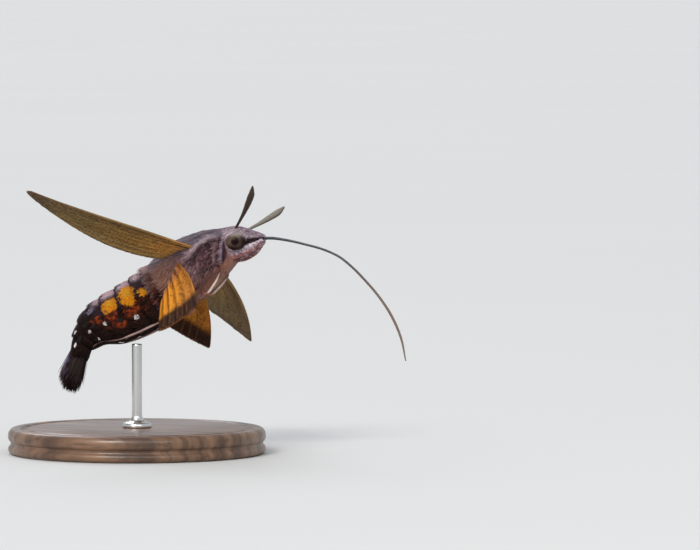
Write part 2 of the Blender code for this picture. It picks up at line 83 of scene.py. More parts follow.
# Distance back along the middle line, half width, height above the line, depth below it
GIRTHS = np.array(
    (
        (0.35, 0.42, 0.46, 0.36),
        (0.9, 0.72, 0.74, 0.56),
        (2.0, 1.35, 1.22, 1.05),
        (3.4, 2.05, 1.90, 1.75),
        (5.0, 2.50, 2.40, 2.55),
        (7.0, 3.30, 3.30, 3.35),
        (9.5, 3.90, 4.10, 3.95),
        (12.3, 3.85, 4.00, 3.85),
        (14.0, 3.60, 3.60, 3.75),
        (18.0, 3.60, 3.30, 3.45),
        (21.0, 3.40, 3.10, 3.05),
        (23.3, 2.85, 2.65, 2.25),
        (25.6, 1.90, 1.55, 1.50),
        (27.5, 1.60, 0.85, 0.90),
    )
)
BROW, WAIST, TAIL_ROOT, BODY_END = 0.35, 13.9, 26.4, 27.5
# Distance back, and how deep the coat is there
COAT_DEPTHS = np.array(
    ((0.35, 0.12), (4.5, 0.24), (6.5, 0.36), (12.5, 0.4), (14.0, 0.26), (20.0, 0.16), (27.5, 0.14))
)
RING_ENDS = np.array((13.2, 14.9, 16.6, 18.8, 21.1, 22.9, 24.3, 25.6, 27.6))  # the abdomen's rings
RING_FLARE = 0.14
ROOT_HAIRS = 1100  # on each side, over the roots of the wings
ROOT_HAIR_PLACE = 10.4  # their middle, as a distance back along the body

EYE_PLACE = np.array((5.5, 1.62, 2.9))
EYE_RADII = np.array((1.28, 0.95, 1.2))
EYE_CLEARING = 1.0  # no tuft is rooted nearer to an eye's middle, as a share of its size
EYE_RIM, EYE_SOCKET = 0.16, 0.35  # how far the skin rises round an eye, and dips under it
PUPIL_WAY = (0.33, 0.92, -0.17)  # from the left eye's middle
EYE_FRINGE = 750  # tufts that lap over each eye's edge

PALP_LINE = ((4.7, 0.95, 1.35), (6.1, 0.86, 1.86), (7.3, 0.66, 2.48), (8.25, 0.40, 3.25))
PALP_HALF_WIDTHS = (0.45, 0.55, 0.5, 0.28)
PALP_HALF_DEPTHS = (0.5, 0.68, 0.56, 0.24)
PALP_COAT = 0.13
PALP_SCALES = {
    "count": 2600,
    "size": 0.42,
    "width": 0.065,
    "lift": 0.5,
    "stray": 0.34,
    "droop": 0.15,
    "thick": 0.25,
}

ANTENNA_ROOT = (5.0, 0.85, 4.3)
ANTENNA_LENGTH = 7.15
ANTENNA_RADII = (0.12, 0.13, 0.17, 0.25, 0.33, 0.33, 0.07)
ANTENNA_JOINTS = 46
ANTENNA_SIDES = 20
ANTENNA_BRISTLES = {
    "count": 900,
    "size": 0.13,
    "width": 0.022,
    "lift": 0.9,
    "stray": 0.3,
    "span": (0.12, 0.97),
    "droop": 0.0,
}

PROBOSCIS_LINE = (
    (8.3, 3.66),
    (9.2, 3.72),
    (11.0, 3.55),
    (13.6, 3.05),
    (16.1, 2.42),
    (18.0, 1.62),
    (19.6, 0.5),
    (21.2, -0.9),
    (23.2, -2.9),
    (25.0, -5.2),
    (26.4, -7.8),
    (27.2, -10.4),
)
PROBOSCIS_KNOTS = (0.0, 0.1, 0.6, 0.9, 1.0)
PROBOSCIS_RADII = (0.25, 0.21, 0.19, 0.16, 0.08)
PROBOSCIS_RING = 0.11
PROBOSCIS_STEPS, PROBOSCIS_SIDES = 1100, 22

# Distance along the body, angle from the back and lift of each leg's joints, root first
LEG_LINES = {
    "foreleg": (
        (7.0, 160, -0.6),
        (6.8, 158, -0.12),
        (6.5, 151, -0.14),
        (6.4, 143, -0.14),
        (6.7, 135, -0.18),
        (7.6, 128, -0.2),
        (9.2, 126, -0.2),
    ),
    "midleg": (
        (10.5, 168, -0.6),
        (10.1, 166.5, 0.08),
        (8.8, 161, 0.18),
        (7.6, 155, 0.2),
        (6.9, 150, 0.16),
        (7.9, 145, -0.12),
        (9.6, 146, -0.2),
        (11.2, 148, -0.2),
        (12.9, 143, -0.18),
    ),
    "hindleg": (
        (12.0, 165, -0.6),
        (12.6, 166, 0.02),
        (15.2, 165, 0.0),
        (18.0, 163, 0.02),
        (21.5, 164, 0.03),
        (24.2, 165, 0.05),
        (25.6, 166, 0.1),
    ),
}
# Share of each leg's length with its radius there: thigh, knee, shin, then the jointed foot
LEG_PROFILES = {
    "foreleg": ((0, 0.3, 0.42, 0.5, 0.72, 0.78, 1), (0.20, 0.17, 0.12, 0.13, 0.11, 0.09, 0.06)),
    "midleg": ((0, 0.25, 0.4, 0.5, 0.72, 0.78, 1), (0.15, 0.13, 0.10, 0.12, 0.11, 0.09, 0.06)),
    "hindleg": ((0, 0.2, 0.32, 0.45, 0.66, 0.72, 1), (0.22, 0.18, 0.12, 0.14, 0.12, 0.09, 0.06)),
}
FAR_TUCK = 0.4  # the left fore and middle legs lie this much deeper in the coat than the right ones
LEG_SPURS = {"foreleg": (0.62,), "midleg": (0.7, 0.7), "hindleg": (0.52, 0.52, 0.66, 0.66)}
SPINE_PAIRS = 7  # along each foot
LEG_SCALES = {
    "count": 600,
    "size": 0.26,
    "width": 0.07,
    "lift": 0.14,
    "stray": 0.12,
    "span": (0.02, 0.97),
    "droop": 0.06,
    "thick": 0.2,
}

MEMBRANE = 0.12
VEIN_RISE = 0.07  # on each side
WING_FOLD = 0.05  # how far the membrane dips between two veins
WING_END, WING_REAR = 0.985, 0.965  # the fringe fills the rest of the outline
WING_SCALE = 0.24
FRINGE_LENGTH = 0.42
FRINGE_PER_MM = 16
FOREWING_ROOT = (1.0, 3.0, 1.9)
HINDWING_ROOT = (-0.9, 3.0, 0.2)
FOREWING = {
    "length": 23.5,
    "chord": 8.4,
    "rear_at": 0.62,
    "fill": 0.85,
    "root_chord": 2.4,
    "arch": 0.9,
    "bulge": 1.2,
    "camber": 0.45,
    "veins": 8,
}
HINDWING = {
    "length": 12.5,
    "chord": 6.8,
    "rear_at": 0.4,
    "fill": 0.4,
    "root_chord": 2.0,
    "arch": 0.5,
    "bulge": 1.0,
    "camber": 0.3,
    "veins": 6,
}
# Degrees swept back, raised and nose-up at the root and at the tip, and the tip's bend up in mm
WING_POSES = {
    "forewing_right": {"sweep": 31, "lift": -2, "twist": (28, 1), "flex": 2.8},
    "forewing_left": {"sweep": 5, "lift": -12, "twist": (5, -20), "flex": -1.0},
    "hindwing_right": {"sweep": -39, "lift": -30, "twist": (78, 76), "flex": -0.3},
    "hindwing_left": {"sweep": 4, "lift": -32, "twist": (5, 5), "flex": -0.5},
}

# Distance along the body, angle from the back and length of each side tuft
SIDE_TUFTS = {
    "white": (
        (17.9, 129, 0.44),
        (21.4, 113, 0.56),
        (24.1, 113, 0.66),
        (26.5, 83, 0.6),
        (25.4, 62, 0.5),
        (23.6, 152, 0.36),
    ),
    "dark": ((19.6, 120, 0.6), (22.7, 105, 0.9), (23.5, 88, 0.9), (25.3, 100, 1.1), (25.2, 60, 0.9)),
}
TUFT_SCALES = 160
TUFT_REACH, TUFT_TURN = 0.26, 4.2  # half of a tuft's root, along the body in mm and round it in degrees
TUFT_WIDTH = 0.085

TAIL_LEAN = math.radians(3)
TAIL_SCALES = 1400
TAIL_SPREAD = 11
TAIL_LENGTH = 5.7
TAIL_HALF_WIDTH = 0.95
TAIL_WIDTH = 0.24  # of one scale

BASE_HEIGHT = 3.0
BASE_PROFILE = (
    (0.02, 3.0),
    (12.6, 3.0),
    (12.9, 2.75),
    (13.3, 2.75),
    (13.6, 3.0),
    (14.6, 3.0),
    (15.0, 2.5),
    (15.0, 1.7),
    (14.7, 1.4),
    (14.7, 1.1),
    (15.0, 0.8),
    (15.0, 0.3),
    (14.6, 0.0),
    (0.02, 0.0),
)
ROD_RADIUS = 0.6
ROD_PROFILE = ((ROD_RADIUS, 1.3), (0.9, 0.75), (1.55, 0.6), (1.7, 0.35), (1.7, 0.0), (0.02, 0.0))

draw = np.random.default_rng(7)


def smooth(x, xs, ys):
    """The values at x of a smooth curve through the points (xs, ys), flat beyond its ends."""
    xs = np.asarray(xs, float)
    ys = np.asarray(ys, float)
    x = np.clip(np.asarray(x, float), xs[0], xs[-1])
    slopes = np.gradient(ys, xs)
    k = np.clip(np.searchsorted(xs, x, side="right") - 1, 0, len(xs) - 2)
    width = xs[k + 1] - xs[k]
    t = (x - xs[k]) / width
    start = (1 + 2 * t) * (1 - t) ** 2 * ys[k] + t * (1 - t) ** 2 * width * slopes[k]
    end = t * t * (3 - 2 * t) * ys[k + 1] - t * t * (1 - t) * width * slopes[k + 1]
    return start + end


def ramp(x, low, high):
    """0 below low, 1 above high, with a smooth rise between them."""
    t = np.clip((np.asarray(x, float) - low) / (high - low), 0, 1)
    return t * t * (3 - 2 * t)


def unit(vectors):
    """The same directions at length 1."""
    return vectors / np.maximum(np.linalg.norm(vectors, axis=-1, keepdims=True), 1e-9)


def path_lengths(points):
    """The distance along a line of points at each of them."""
    return np.concatenate([[0], np.cumsum(np.linalg.norm(np.diff(points, axis=0), axis=1))])


def along(points, shares):
    """The points at these shares of the smooth curve through points."""
    points = np.asarray(points, float)
    lengths = path_lengths(points)
    at = np.asarray(shares, float) * lengths[-1]
    return np.stack([smooth(at, lengths, axis) for axis in points.T], -1)


SPINE_LENGTHS = path_lengths(SPINE)


def spine_point(distance):
    """The middle line's points at these distances from its front end."""
    forward, up = (smooth(distance, SPINE_LENGTHS, axis) for axis in SPINE.T)
    return np.stack([forward, 0 * forward, up], -1)


def spine_frame(distance):
    """The middle line's points, and the unit directions forward and towards the back."""
    step = 0.05
    forward = unit(spine_point(distance - step) - spine_point(distance + step))
    up = np.stack([-forward[..., 2], 0 * forward[..., 0], forward[..., 0]], -1)
    return spine_point(distance), forward, up


def ring_share(distance):
    """How far each point is through its ring of the abdomen, from 0 in front to 1 at its hind edge."""
    k = np.clip(np.searchsorted(RING_ENDS, distance, side="right") - 1, 0, len(RING_ENDS) - 2)
    return (distance - RING_ENDS[k]) / (RING_ENDS[k + 1] - RING_ENDS[k])


def body_point(distance, angle, lift=0.0):
    """Points over the body with its coat on. angle is in degrees from the back, and grows to the left."""
    distance, angle = np.broadcast_arrays(np.asarray(distance, float), np.asarray(angle, float))
    centre, _, up = spine_frame(distance)
    width, above, below = (smooth(distance, GIRTHS[:, 0], column) for column in GIRTHS[:, 1:].T)
    turn = np.radians(angle)
    height = np.where(np.cos(turn) > 0, above, below) + lift
    return (
        centre
        + up * (np.cos(turn) * height)[..., None]
        + np.array((0, 1, 0)) * (np.sin(turn) * (width + lift))[..., None]
    )


def skin_point(distance, angle, lift=0.0):
    """Points over the bare skin, which lies under the coat and steps in where the rings meet."""
    distance, angle = np.broadcast_arrays(np.asarray(distance, float), np.asarray(angle, float))
    share = ring_share(distance)
    step = RING_FLARE * (1.5 * ramp(share, 0, 0.9) - 0.5) * (1 - ramp(share, 0.93, 1.0))
    inset = smooth(distance, *COAT_DEPTHS.T) - step * ramp(distance, 13.5, 14.5)
    return body_point(distance, angle, lift - inset)


def skin_frame(distance, angle):
    """The skin's points with the unit directions rearward and round along it, and outward from it."""
    here = skin_point(distance, angle)
    rearward = unit(skin_point(distance + 0.03, angle) - skin_point(distance - 0.03, angle))
    round_way = unit(skin_point(distance, angle + 0.5) - skin_point(distance, angle - 0.5))
    outward = unit(np.cross(rearward, round_way))
    return here, unit(np.cross(round_way, outward)), round_way, outward


class Value:
    """A number that a material works out over the surface. Sums on it add the Math nodes for them."""

    def __init__(self, finish, socket):
        self.finish = finish
        self.socket = socket

    def math(self, operation, *values):
        """The result of a Math node on these values."""
        made = self.finish.node("ShaderNodeMath", {"operation": operation}, dict(enumerate(values)))
        return Value(self.finish, made.outputs[0])

    def __add__(self, other):
        return self.math("ADD", self, other)

    __radd__ = __add__

    def __sub__(self, other):
        return self.math("SUBTRACT", self, other)

    def __rsub__(self, other):
        return self.math("SUBTRACT", other, self)

    def __mul__(self, other):
        return self.math("MULTIPLY", self, other)

    __rmul__ = __mul__

    def __truediv__(self, other):
        return self.math("DIVIDE", self, other)

    def __pow__(self, other):
        return self.math("POWER", self, other)

    def size(self):
        """The number without its sign."""
        return self.math("ABSOLUTE", self)

    def larger(self, other):
        return self.math("MAXIMUM", self, other)

    def step(self, low, high):
        """0 below low, 1 above high, with a smooth rise between them."""
        rise = {"Value": self, "From Min": low, "From Max": high}
        made = self.finish.node("ShaderNodeMapRange", {"interpolation_type": "SMOOTHSTEP"}, rise)
        return Value(self.finish, made.outputs["Result"])

    def near(self, centre, half):
        """1 at the centre, falling smoothly to 0 at half away from it."""
        return 1 - (self - centre).size().step(0.0, half)


class Finish:
    """A surface's material: a Principled shader, and the nodes that feed it."""

    def __init__(self, name, roughness=0.7, **constants):
        self.material = bpy.data.materials.new(name)
        self.material.use_nodes = True
        self.tree = self.material.node_tree
        self.shader = next(n for n in self.tree.nodes if n.type == "BSDF_PRINCIPLED")
        self.shader.inputs["Roughness"].default_value = roughness
        for word, value in constants.items():
            self.shader.inputs[word.replace("_", " ").title().replace("Ior", "IOR")].default_value = value
        self.places = {}

    def node(self, kind, settings=None, values=None):
        """Adds a node of this kind with its settings, then gives its sockets values or links."""
        made = self.tree.nodes.new(kind)
        for word, value in (settings or {}).items():
            setattr(made, word, value)
        for word, value in (values or {}).items():
            self.feed(made.inputs[word], value)
        return made

    def feed(self, socket, value):
        """Sets a socket to a number or colour, or links it to what works one out."""
        if isinstance(value, Value):
            self.tree.links.new(value.socket, socket)
        elif isinstance(value, bpy.types.NodeSocket):
            self.tree.links.new(value, socket)
        elif isinstance(value, tuple) and len(value) == 3 and socket.type == "RGBA":
            socket.default_value = (*value, 1)
        else:
            socket.default_value = value

    def given(self, name):
        """A number that the mesh carries at its points."""
        if name not in self.places:
            made = self.node("ShaderNodeAttribute", {"attribute_name": name})
            self.places[name] = Value(self, made.outputs["Fac"])
        return self.places[name]

    def place(self, stretch=(1, 1, 1)):
        """The place on the object in metres, stretched by these factors."""
        where = self.node("ShaderNodeTexCoord").outputs["Object"]
        values = {"Vector": where, "Scale": stretch}
        return self.node("ShaderNodeMapping", {}, values).outputs["Vector"]

    def streaks(self, first, second):
        """A cloudy pattern over two numbers that the surface carries."""
        where = self.node("ShaderNodeCombineXYZ", {}, {0: first, 1: second}).outputs[0]
        values = {"Vector": where, "Scale": 1.0, "Detail": 1.0}
        return Value(self, self.node("ShaderNodeTexNoise", {}, values).outputs["Fac"])

    def noise(self, per_mm, detail=3, stretch=(1, 1, 1)):
        """A cloudy pattern from 0 to 1 with about this many patches for each millimetre."""
        values = {"Vector": self.place(stretch), "Scale": per_mm / MM, "Detail": detail, "Roughness": 0.55}
        return Value(self, self.node("ShaderNodeTexNoise", {}, values).outputs["Fac"])

    def cells(self, per_mm):
        """The distance to the nearest of many scattered points, this many for each millimetre."""
        values = {"Vector": self.place(), "Scale": per_mm / MM}
        return Value(self, self.node("ShaderNodeTexVoronoi", {}, values).outputs["Distance"])

    def mixed(self, first, second, share):
        """A colour between two others, by this share of the second."""
        settings = {"data_type": "RGBA", "blend_type": "MIX"}
        made = self.node("ShaderNodeMix", settings)
        self.feed(made.inputs[0], share)
        self.feed(made.inputs[6], first)
        self.feed(made.inputs[7], second)
        return made.outputs[2]

    def shaded(self, colour, share):
        """A colour made darker or lighter by a number."""
        made = self.node("ShaderNodeVectorMath", {"operation": "SCALE"}, {0: colour})
        self.feed(made.inputs["Scale"], share)
        return made.outputs[0]

    def colour(self, value):
        self.feed(self.shader.inputs["Base Color"], value)
        return self

    def roughness(self, value):
        self.feed(self.shader.inputs["Roughness"], value)
        return self

    def bump(self, height, depth_mm, strength=1.0):
        """Raises the surface in the light by a height from 0 to 1 times this depth."""
        values = {"Height": height, "Distance": depth_mm * MM, "Strength": strength}
        made = self.node("ShaderNodeBump", {}, values)
        self.feed(self.shader.inputs["Normal"], made.outputs["Normal"])
        return self


def add_piece(name, points, triangles, finish, marks=None, bake=None, smooth_shade=True):
    """Makes one piece from points in the moth's frame, and sets it on the stand with the rest.

    marks are numbers at the points, and bake is each point's place on the flat map of colours."""
    world = np.asarray(points, float).reshape(-1, 3) * MM
    turn = np.array(MOTH.to_3x3())
    world = world @ turn.T + np.array(MOTH.translation)
    return add_world_piece(name, world, triangles, finish, marks, bake, smooth_shade)


def add_world_piece(name, points, triangles, finish, marks=None, bake=None, smooth_shade=True):
    """Makes one piece from points and triangles in the frame's own metres."""
    mesh = bpy.data.meshes.new(name)
    triangles = np.asarray(triangles, np.int32)
    mesh.vertices.add(len(points))
    mesh.vertices.foreach_set("co", np.asarray(points, np.float32).ravel())
    mesh.loops.add(triangles.size)
    mesh.loops.foreach_set("vertex_index", triangles.ravel())
    mesh.polygons.add(len(triangles))
    mesh.polygons.foreach_set("loop_start", np.arange(len(triangles), dtype=np.int32) * 3)
    mesh.update(calc_edges=True)
    for word, values in (marks or {}).items():
        held = mesh.attributes.new(word, "FLOAT", "POINT")
        held.data.foreach_set("value", np.asarray(values, np.float32).ravel())
    if bake is not None:
        layer = mesh.uv_layers.new(name="OFBake")
        flat = np.asarray(bake, np.float32).reshape(-1, 2)[triangles.ravel()]
        layer.data.foreach_set("uv", flat.ravel())
    mesh.materials.append(finish.material)
    if smooth_shade:
        mesh.shade_smooth()
    made = bpy.data.objects.new(name, mesh)
    bpy.context.scene.collection.objects.link(made)
    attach(made, "root")
    return made


def grid_triangles(rows, columns, closed=True):
    """Triangles of a grid of points. Where it is closed, its last column joins its first."""
    i, k = np.meshgrid(np.arange(rows - 1), np.arange(columns if closed else columns - 1), indexing="ij")
    i, k = i.ravel(), k.ravel()
    n = (k + 1) % columns
    a, b, c, d = i * columns + k, i * columns + n, (i + 1) * columns + n, (i + 1) * columns + k
    return np.concatenate([np.stack([a, b, c], 1), np.stack([a, c, d], 1)])


def capped_loft(rings):
    """Points and triangles of a closed skin through rings, with a point in the middle of each end."""
    rows, columns = rings.shape[:2]
    points = np.concatenate([rings.reshape(-1, 3), rings[:1].mean(1), rings[-1:].mean(1)])
    k = np.arange(columns)
    n = (k + 1) % columns
    start, end = rows * columns, rows * columns + 1
    last = (rows - 1) * columns
    caps = [np.stack([0 * k + start, n, k], 1), np.stack([0 * k + end, last + k, last + n], 1)]
    return points, np.concatenate([grid_triangles(rows, columns), *caps])


def with_ends(values):
    """Numbers on a grid of rings, with the two end points' own added after them."""
    return np.concatenate([values.reshape(-1), values[:1].mean(1), values[-1:].mean(1)])


TUFT_STATIONS = ((0.0, 0.75), (0.4, 1.0), (0.75, 0.7))  # share of the length, share of the width
SCALE_STATIONS = ((0.0, 0.4), (0.45, 0.9), (0.85, 0.85))
TAIL_STATIONS = ((0.0, 0.6), (0.35, 0.9), (0.65, 1.0), (0.88, 0.8))
PATCH = 0.003  # a tuft's size on the flat map of colours


def tuft_mesh(roots, ways, outward, lengths, widths, droop=0.3, thick=0.35, stations=TUFT_STATIONS):
    """Many closed tufts in one mesh: each a three-sided blade from its root to its point.

    Returns the points, the triangles, how far along its tuft each point is, and how far across it."""
    count = len(roots)
    ways = unit(ways)
    side = unit(np.cross(ways, outward))
    above = np.cross(side, ways)
    above *= np.sign((above * outward).sum(-1, keepdims=True))
    lengths = np.broadcast_to(lengths, (count,))[:, None]
    widths = np.broadcast_to(widths, (count,))[:, None]
    parts = []
    shares = []
    for share, wide in stations:
        centre = roots + ways * lengths * share - outward * lengths * droop * share**2
        half = side * widths * wide / 2
        parts += [centre + half, centre - half, centre + above * widths * wide * thick]
        shares += [share] * 3
    parts.append(roots + ways * lengths - outward * lengths * droop)
    shares.append(1.0)
    points = np.stack(parts, 1)
    rings = len(stations)
    pattern = [(0, 1, 2)]
    for r in range(rings - 1):
        for k in range(3):
            a, b = 3 * r + k, 3 * r + (k + 1) % 3
            pattern += [(a, a + 3, b), (b, a + 3, b + 3)]
    last = 3 * (rings - 1)
    pattern += [(last + k, 3 * rings, last + (k + 1) % 3) for k in range(3)]
    each = points.shape[1]
    triangles = (np.array(pattern)[None] + np.arange(count)[:, None, None] * each).reshape(-1, 3)
    shares = np.tile(shares, (count, 1))
    spread = np.tile([0.5, -0.5, 0.0] * rings + [0.0], (count, 1))
    return points, triangles, shares, spread


def tufted_piece(name, roots, ways, outward, lengths, widths, finish, slot, flat_map, marks=None, **shape):
    """One piece of many tufts. flat_map and marks have one row or number for each tuft."""
    points, triangles, shares, spread = tuft_mesh(roots, ways, outward, lengths, widths, **shape)
    each = points.shape[1]
    held = {"tip": shares, "draw": np.repeat(draw.random(len(roots)), each)}
    for word, values in (marks or {}).items():
        held[word] = np.repeat(np.asarray(values, float), each)
    bake = flat_map[:, None, :] + np.stack([spread, shares - 0.5], -1) * PATCH
    return add_piece(name, points, triangles, finish, held, bake)


def scattered(count, low, high):
    """Random distances and angles on the body, spread evenly over its surface."""
    found = []
    most = 16.0  # no ring's width and height add up to more than this
    while sum(len(f) for f in found) < count:
        tries = np.stack([draw.uniform(low, high, count * 2), draw.uniform(-180, 180, count * 2)], 1)
        width, above, below = (smooth(tries[:, 0], GIRTHS[:, 0], c) for c in GIRTHS[:, 1:].T)
        girth = (width * 2 + above + below) / most
        found.append(tries[draw.random(len(tries)) < girth])
    return np.concatenate(found)[:count].T


def body_flat_map(distance, angle):
    """Where a place of the body lies on its flat map of colours: across by angle, up by distance."""
    return np.stack([0.5 + angle / 360 * 0.98, 0.01 + 0.98 * (distance - BROW) / (BODY_END - BROW)], -1)


# Colours, as linear red, green and blue
BACK_GREY = (0.265, 0.200, 0.225)
BACK_BLUE = (0.205, 0.175, 0.240)
SIDE_MAROON = (0.155, 0.062, 0.070)
SIDE_PINK = (0.42, 0.25, 0.26)
PALE_TIP = (0.60, 0.45, 0.49)
CHEST_RUST = (0.45, 0.20, 0.14)
CHEST_PALE = (0.68, 0.46, 0.38)
DARK_LINE = (0.030, 0.013, 0.020)
COLLAR_PALE = (0.48, 0.34, 0.43)
FACE_PINK = (0.46, 0.33, 0.395)
FACE_WHITE = (0.76, 0.66, 0.70)
PALP_WHITE = (0.84, 0.73, 0.79)
FACE_RUST = (0.33, 0.11, 0.085)
STRIPE_DARK = (0.028, 0.013, 0.016)
WING_RUST = (0.38, 0.19, 0.13)
BACK_LILAC = (0.78, 0.53, 0.57)
BAND_PURPLE = (0.050, 0.024, 0.034)
BELLY_DARK = (0.016, 0.005, 0.003)
BELLY_RED = (0.115, 0.018, 0.006)
ORANGE = (1.0, 0.36, 0.010)
ORANGE_PALE = (1.0, 0.47, 0.035)
RUST = (0.40, 0.060, 0.010)
SPOT_GREY = (0.24, 0.19, 0.28)
FACE_DUSK = (0.19, 0.125, 0.165)
EYE_BLACK = (0.002, 0.001, 0.001)
EYE_BROWN = (0.014, 0.005, 0.004)
EYE_RING = (0.085, 0.056, 0.042)
EYE_PAINTED_LIGHT = (0.27, 0.23, 0.21)
EYE_PAINTED_SHADE = (0.012, 0.005, 0.004)
PALP_PINK = (0.50, 0.34, 0.40)
PALP_DUSK = (0.22, 0.11, 0.14)
PALP_RUST = (0.40, 0.15, 0.12)
ANTENNA_DARK = (0.035, 0.022, 0.014)
ANTENNA_PALE = (0.135, 0.115, 0.09)
ANTENNA_RINGS = (0.34, 0.31, 0.27)
BRISTLE_DARK = (0.06, 0.04, 0.03)
BRISTLE_PALE = (0.18, 0.15, 0.11)
TONGUE_BLUE = (0.014, 0.018, 0.024)
TONGUE_BROWN = (0.11, 0.065, 0.04)
TONGUE_TAN = (0.20, 0.12, 0.07)
TONGUE_SHEEN = (0.30, 0.34, 0.35)
SPUR_ROOT = (0.20, 0.12, 0.08)
SPUR_TIP = (0.02, 0.012, 0.01)
LEG_MOTTLE = (0.08, 0.04, 0.035)
LEG_SHADES = {  # thigh, shin and foot
    "foreleg": ((0.24, 0.10, 0.07), (0.10, 0.045, 0.05), (0.07, 0.035, 0.04)),
    "midleg": ((0.78, 0.62, 0.54), (0.11, 0.05, 0.05), (0.07, 0.035, 0.035)),
    "hindleg": ((0.26, 0.11, 0.07), (0.42, 0.27, 0.25), (0.14, 0.08, 0.07)),
}
WING_ORANGE = (0.80, 0.37, 0.09)
WING_OCHRE = (0.42, 0.235, 0.065)
WING_OLIVE = (0.28, 0.175, 0.055)
WING_SAND = (0.42, 0.27, 0.11)
WING_GOLD = (0.52, 0.34, 0.12)
WING_BROWN = (0.12, 0.07, 0.035)
WING_EDGE = (0.17, 0.095, 0.04)
WING_BAND = (0.065, 0.036, 0.022)
WING_LINE = (0.045, 0.022, 0.014)
WING_VEIN = (0.10, 0.055, 0.025)
WING_TOP_PALE = (0.21, 0.125, 0.085)
WING_TOP_DARK = (0.105, 0.06, 0.04)
HIND_RUST = (0.36, 0.15, 0.085)
HIND_ORANGE = (0.80, 0.31, 0.025)
HIND_SHADE = (0.42, 0.15, 0.03)
HIND_BORDER = (0.030, 0.011, 0.009)
HIND_VEIN = (0.28, 0.11, 0.02)
TUFT_SHADES = {  # root and tip
    "white": ((0.84, 0.80, 0.80), (1.0, 0.98, 0.98)),
    "dark": ((0.012, 0.007, 0.006), (0.04, 0.022, 0.025)),
}
TAIL_DARK = (0.016, 0.007, 0.005)
TAIL_VIOLET_SHEEN = (0.105, 0.075, 0.15)
TAIL_PALE_TIP = (0.42, 0.25, 0.24)
WALNUT_DARK = (0.065, 0.030, 0.015)
WALNUT_PALE = (0.20, 0.105, 0.055)
WALNUT_GRAIN = (0.03, 0.014, 0.008)
STEEL_DARK = (0.58, 0.57, 0.55)
STEEL_PALE = (0.72, 0.71, 0.69)
FLOOR_PALE = (0.60, 0.60, 0.59)
FLOOR_DARK = (0.57, 0.57, 0.56)

# Edges of the collar and shoulder plates: distance along the body, half width, colour, strength
COLLAR_LINES = (
    (4.85, 0.30, DARK_LINE, 1.0),
    (5.32, 0.20, COLLAR_PALE, 0.9),
    (5.62, 0.22, DARK_LINE, 1.0),
    (6.2, 0.25, SIDE_PINK, 0.6),
    (6.75, 0.34, DARK_LINE, 0.85),
    (7.9, 0.40, DARK_LINE, 0.45),
)
# Patches of the abdomen: distance along the body, half length, angle from the back, half angle
RUST_PATCHES = ((17.9, 1.0, 112, 14), (20.3, 0.9, 105, 12), (22.3, 0.8, 99, 13), (19.7, 0.8, 131, 9))
ORANGE_PATCHES = ((15.75, 0.55, 92, 11), (17.55, 1.12, 80, 27), (20.05, 0.98, 82, 19))
# Dark bands across the forewing: share of its length, half width, strength
FOREWING_BANDS = ((0.2, 0.05, 0.3), (0.42, 0.06, 0.4), (0.68, 0.07, 0.3))
# Dark lines along the forewing: share of its width, and how far towards the tip they reach
FOREWING_LINES = ((0.075, 0.7), (0.15, 0.45), (0.225, 0.3))


def spot(at, turn, place, low=0.5, high=1.0):
    """1 inside an oval patch of the body, 0 outside it. place is its middle and half size both ways."""
    centre, half, angle, spread = place
    reach = ((at - centre) / half) ** 2 + ((turn - angle) / spread) ** 2
    return 1 - reach.step(low, high)


def head_colour(finish, at, turn):
    """Pinkish lilac above, a dark stripe through the eye to the snout's tip, and a white cheek."""
    flecks = finish.noise(3.6, detail=2)
    colour = finish.mixed(FACE_PINK, FACE_DUSK, flecks.step(0.52, 0.64) * 0.75)
    colour = finish.mixed(colour, FACE_WHITE, (1 - flecks.step(0.36, 0.46)) * 0.7)
    upper = 94 - 16 * (1 - at.step(0.3, 1.2))
    stripe = (turn - upper).step(-6, 3) * (1 - turn.step(134, 144))
    colour = finish.mixed(colour, STRIPE_DARK, stripe * (1 - at.step(3.2, 4.4)))
    colour = finish.mixed(colour, FACE_RUST, turn.step(146, 164) * at.step(2.6, 4.2))
    eye = finish.given("eye")
    brow = eye.near(1.16, 0.16) * (1 - turn.step(96, 116)) * flecks.step(0.4, 0.52)
    colour = finish.mixed(colour, FACE_WHITE, brow * 0.9)
    lower_rim = eye.near(1.16, 0.2) * turn.step(112, 124) * at.step(2.7, 3.2)
    colour = finish.mixed(colour, PALP_WHITE, lower_rim * 0.95)
    front_rim = (1 - eye.step(1.08, 1.2)) * turn.step(100, 112) * (1 - at.step(2.7, 3.3))
    return finish.mixed(colour, STRIPE_DARK, front_rim * 0.95)


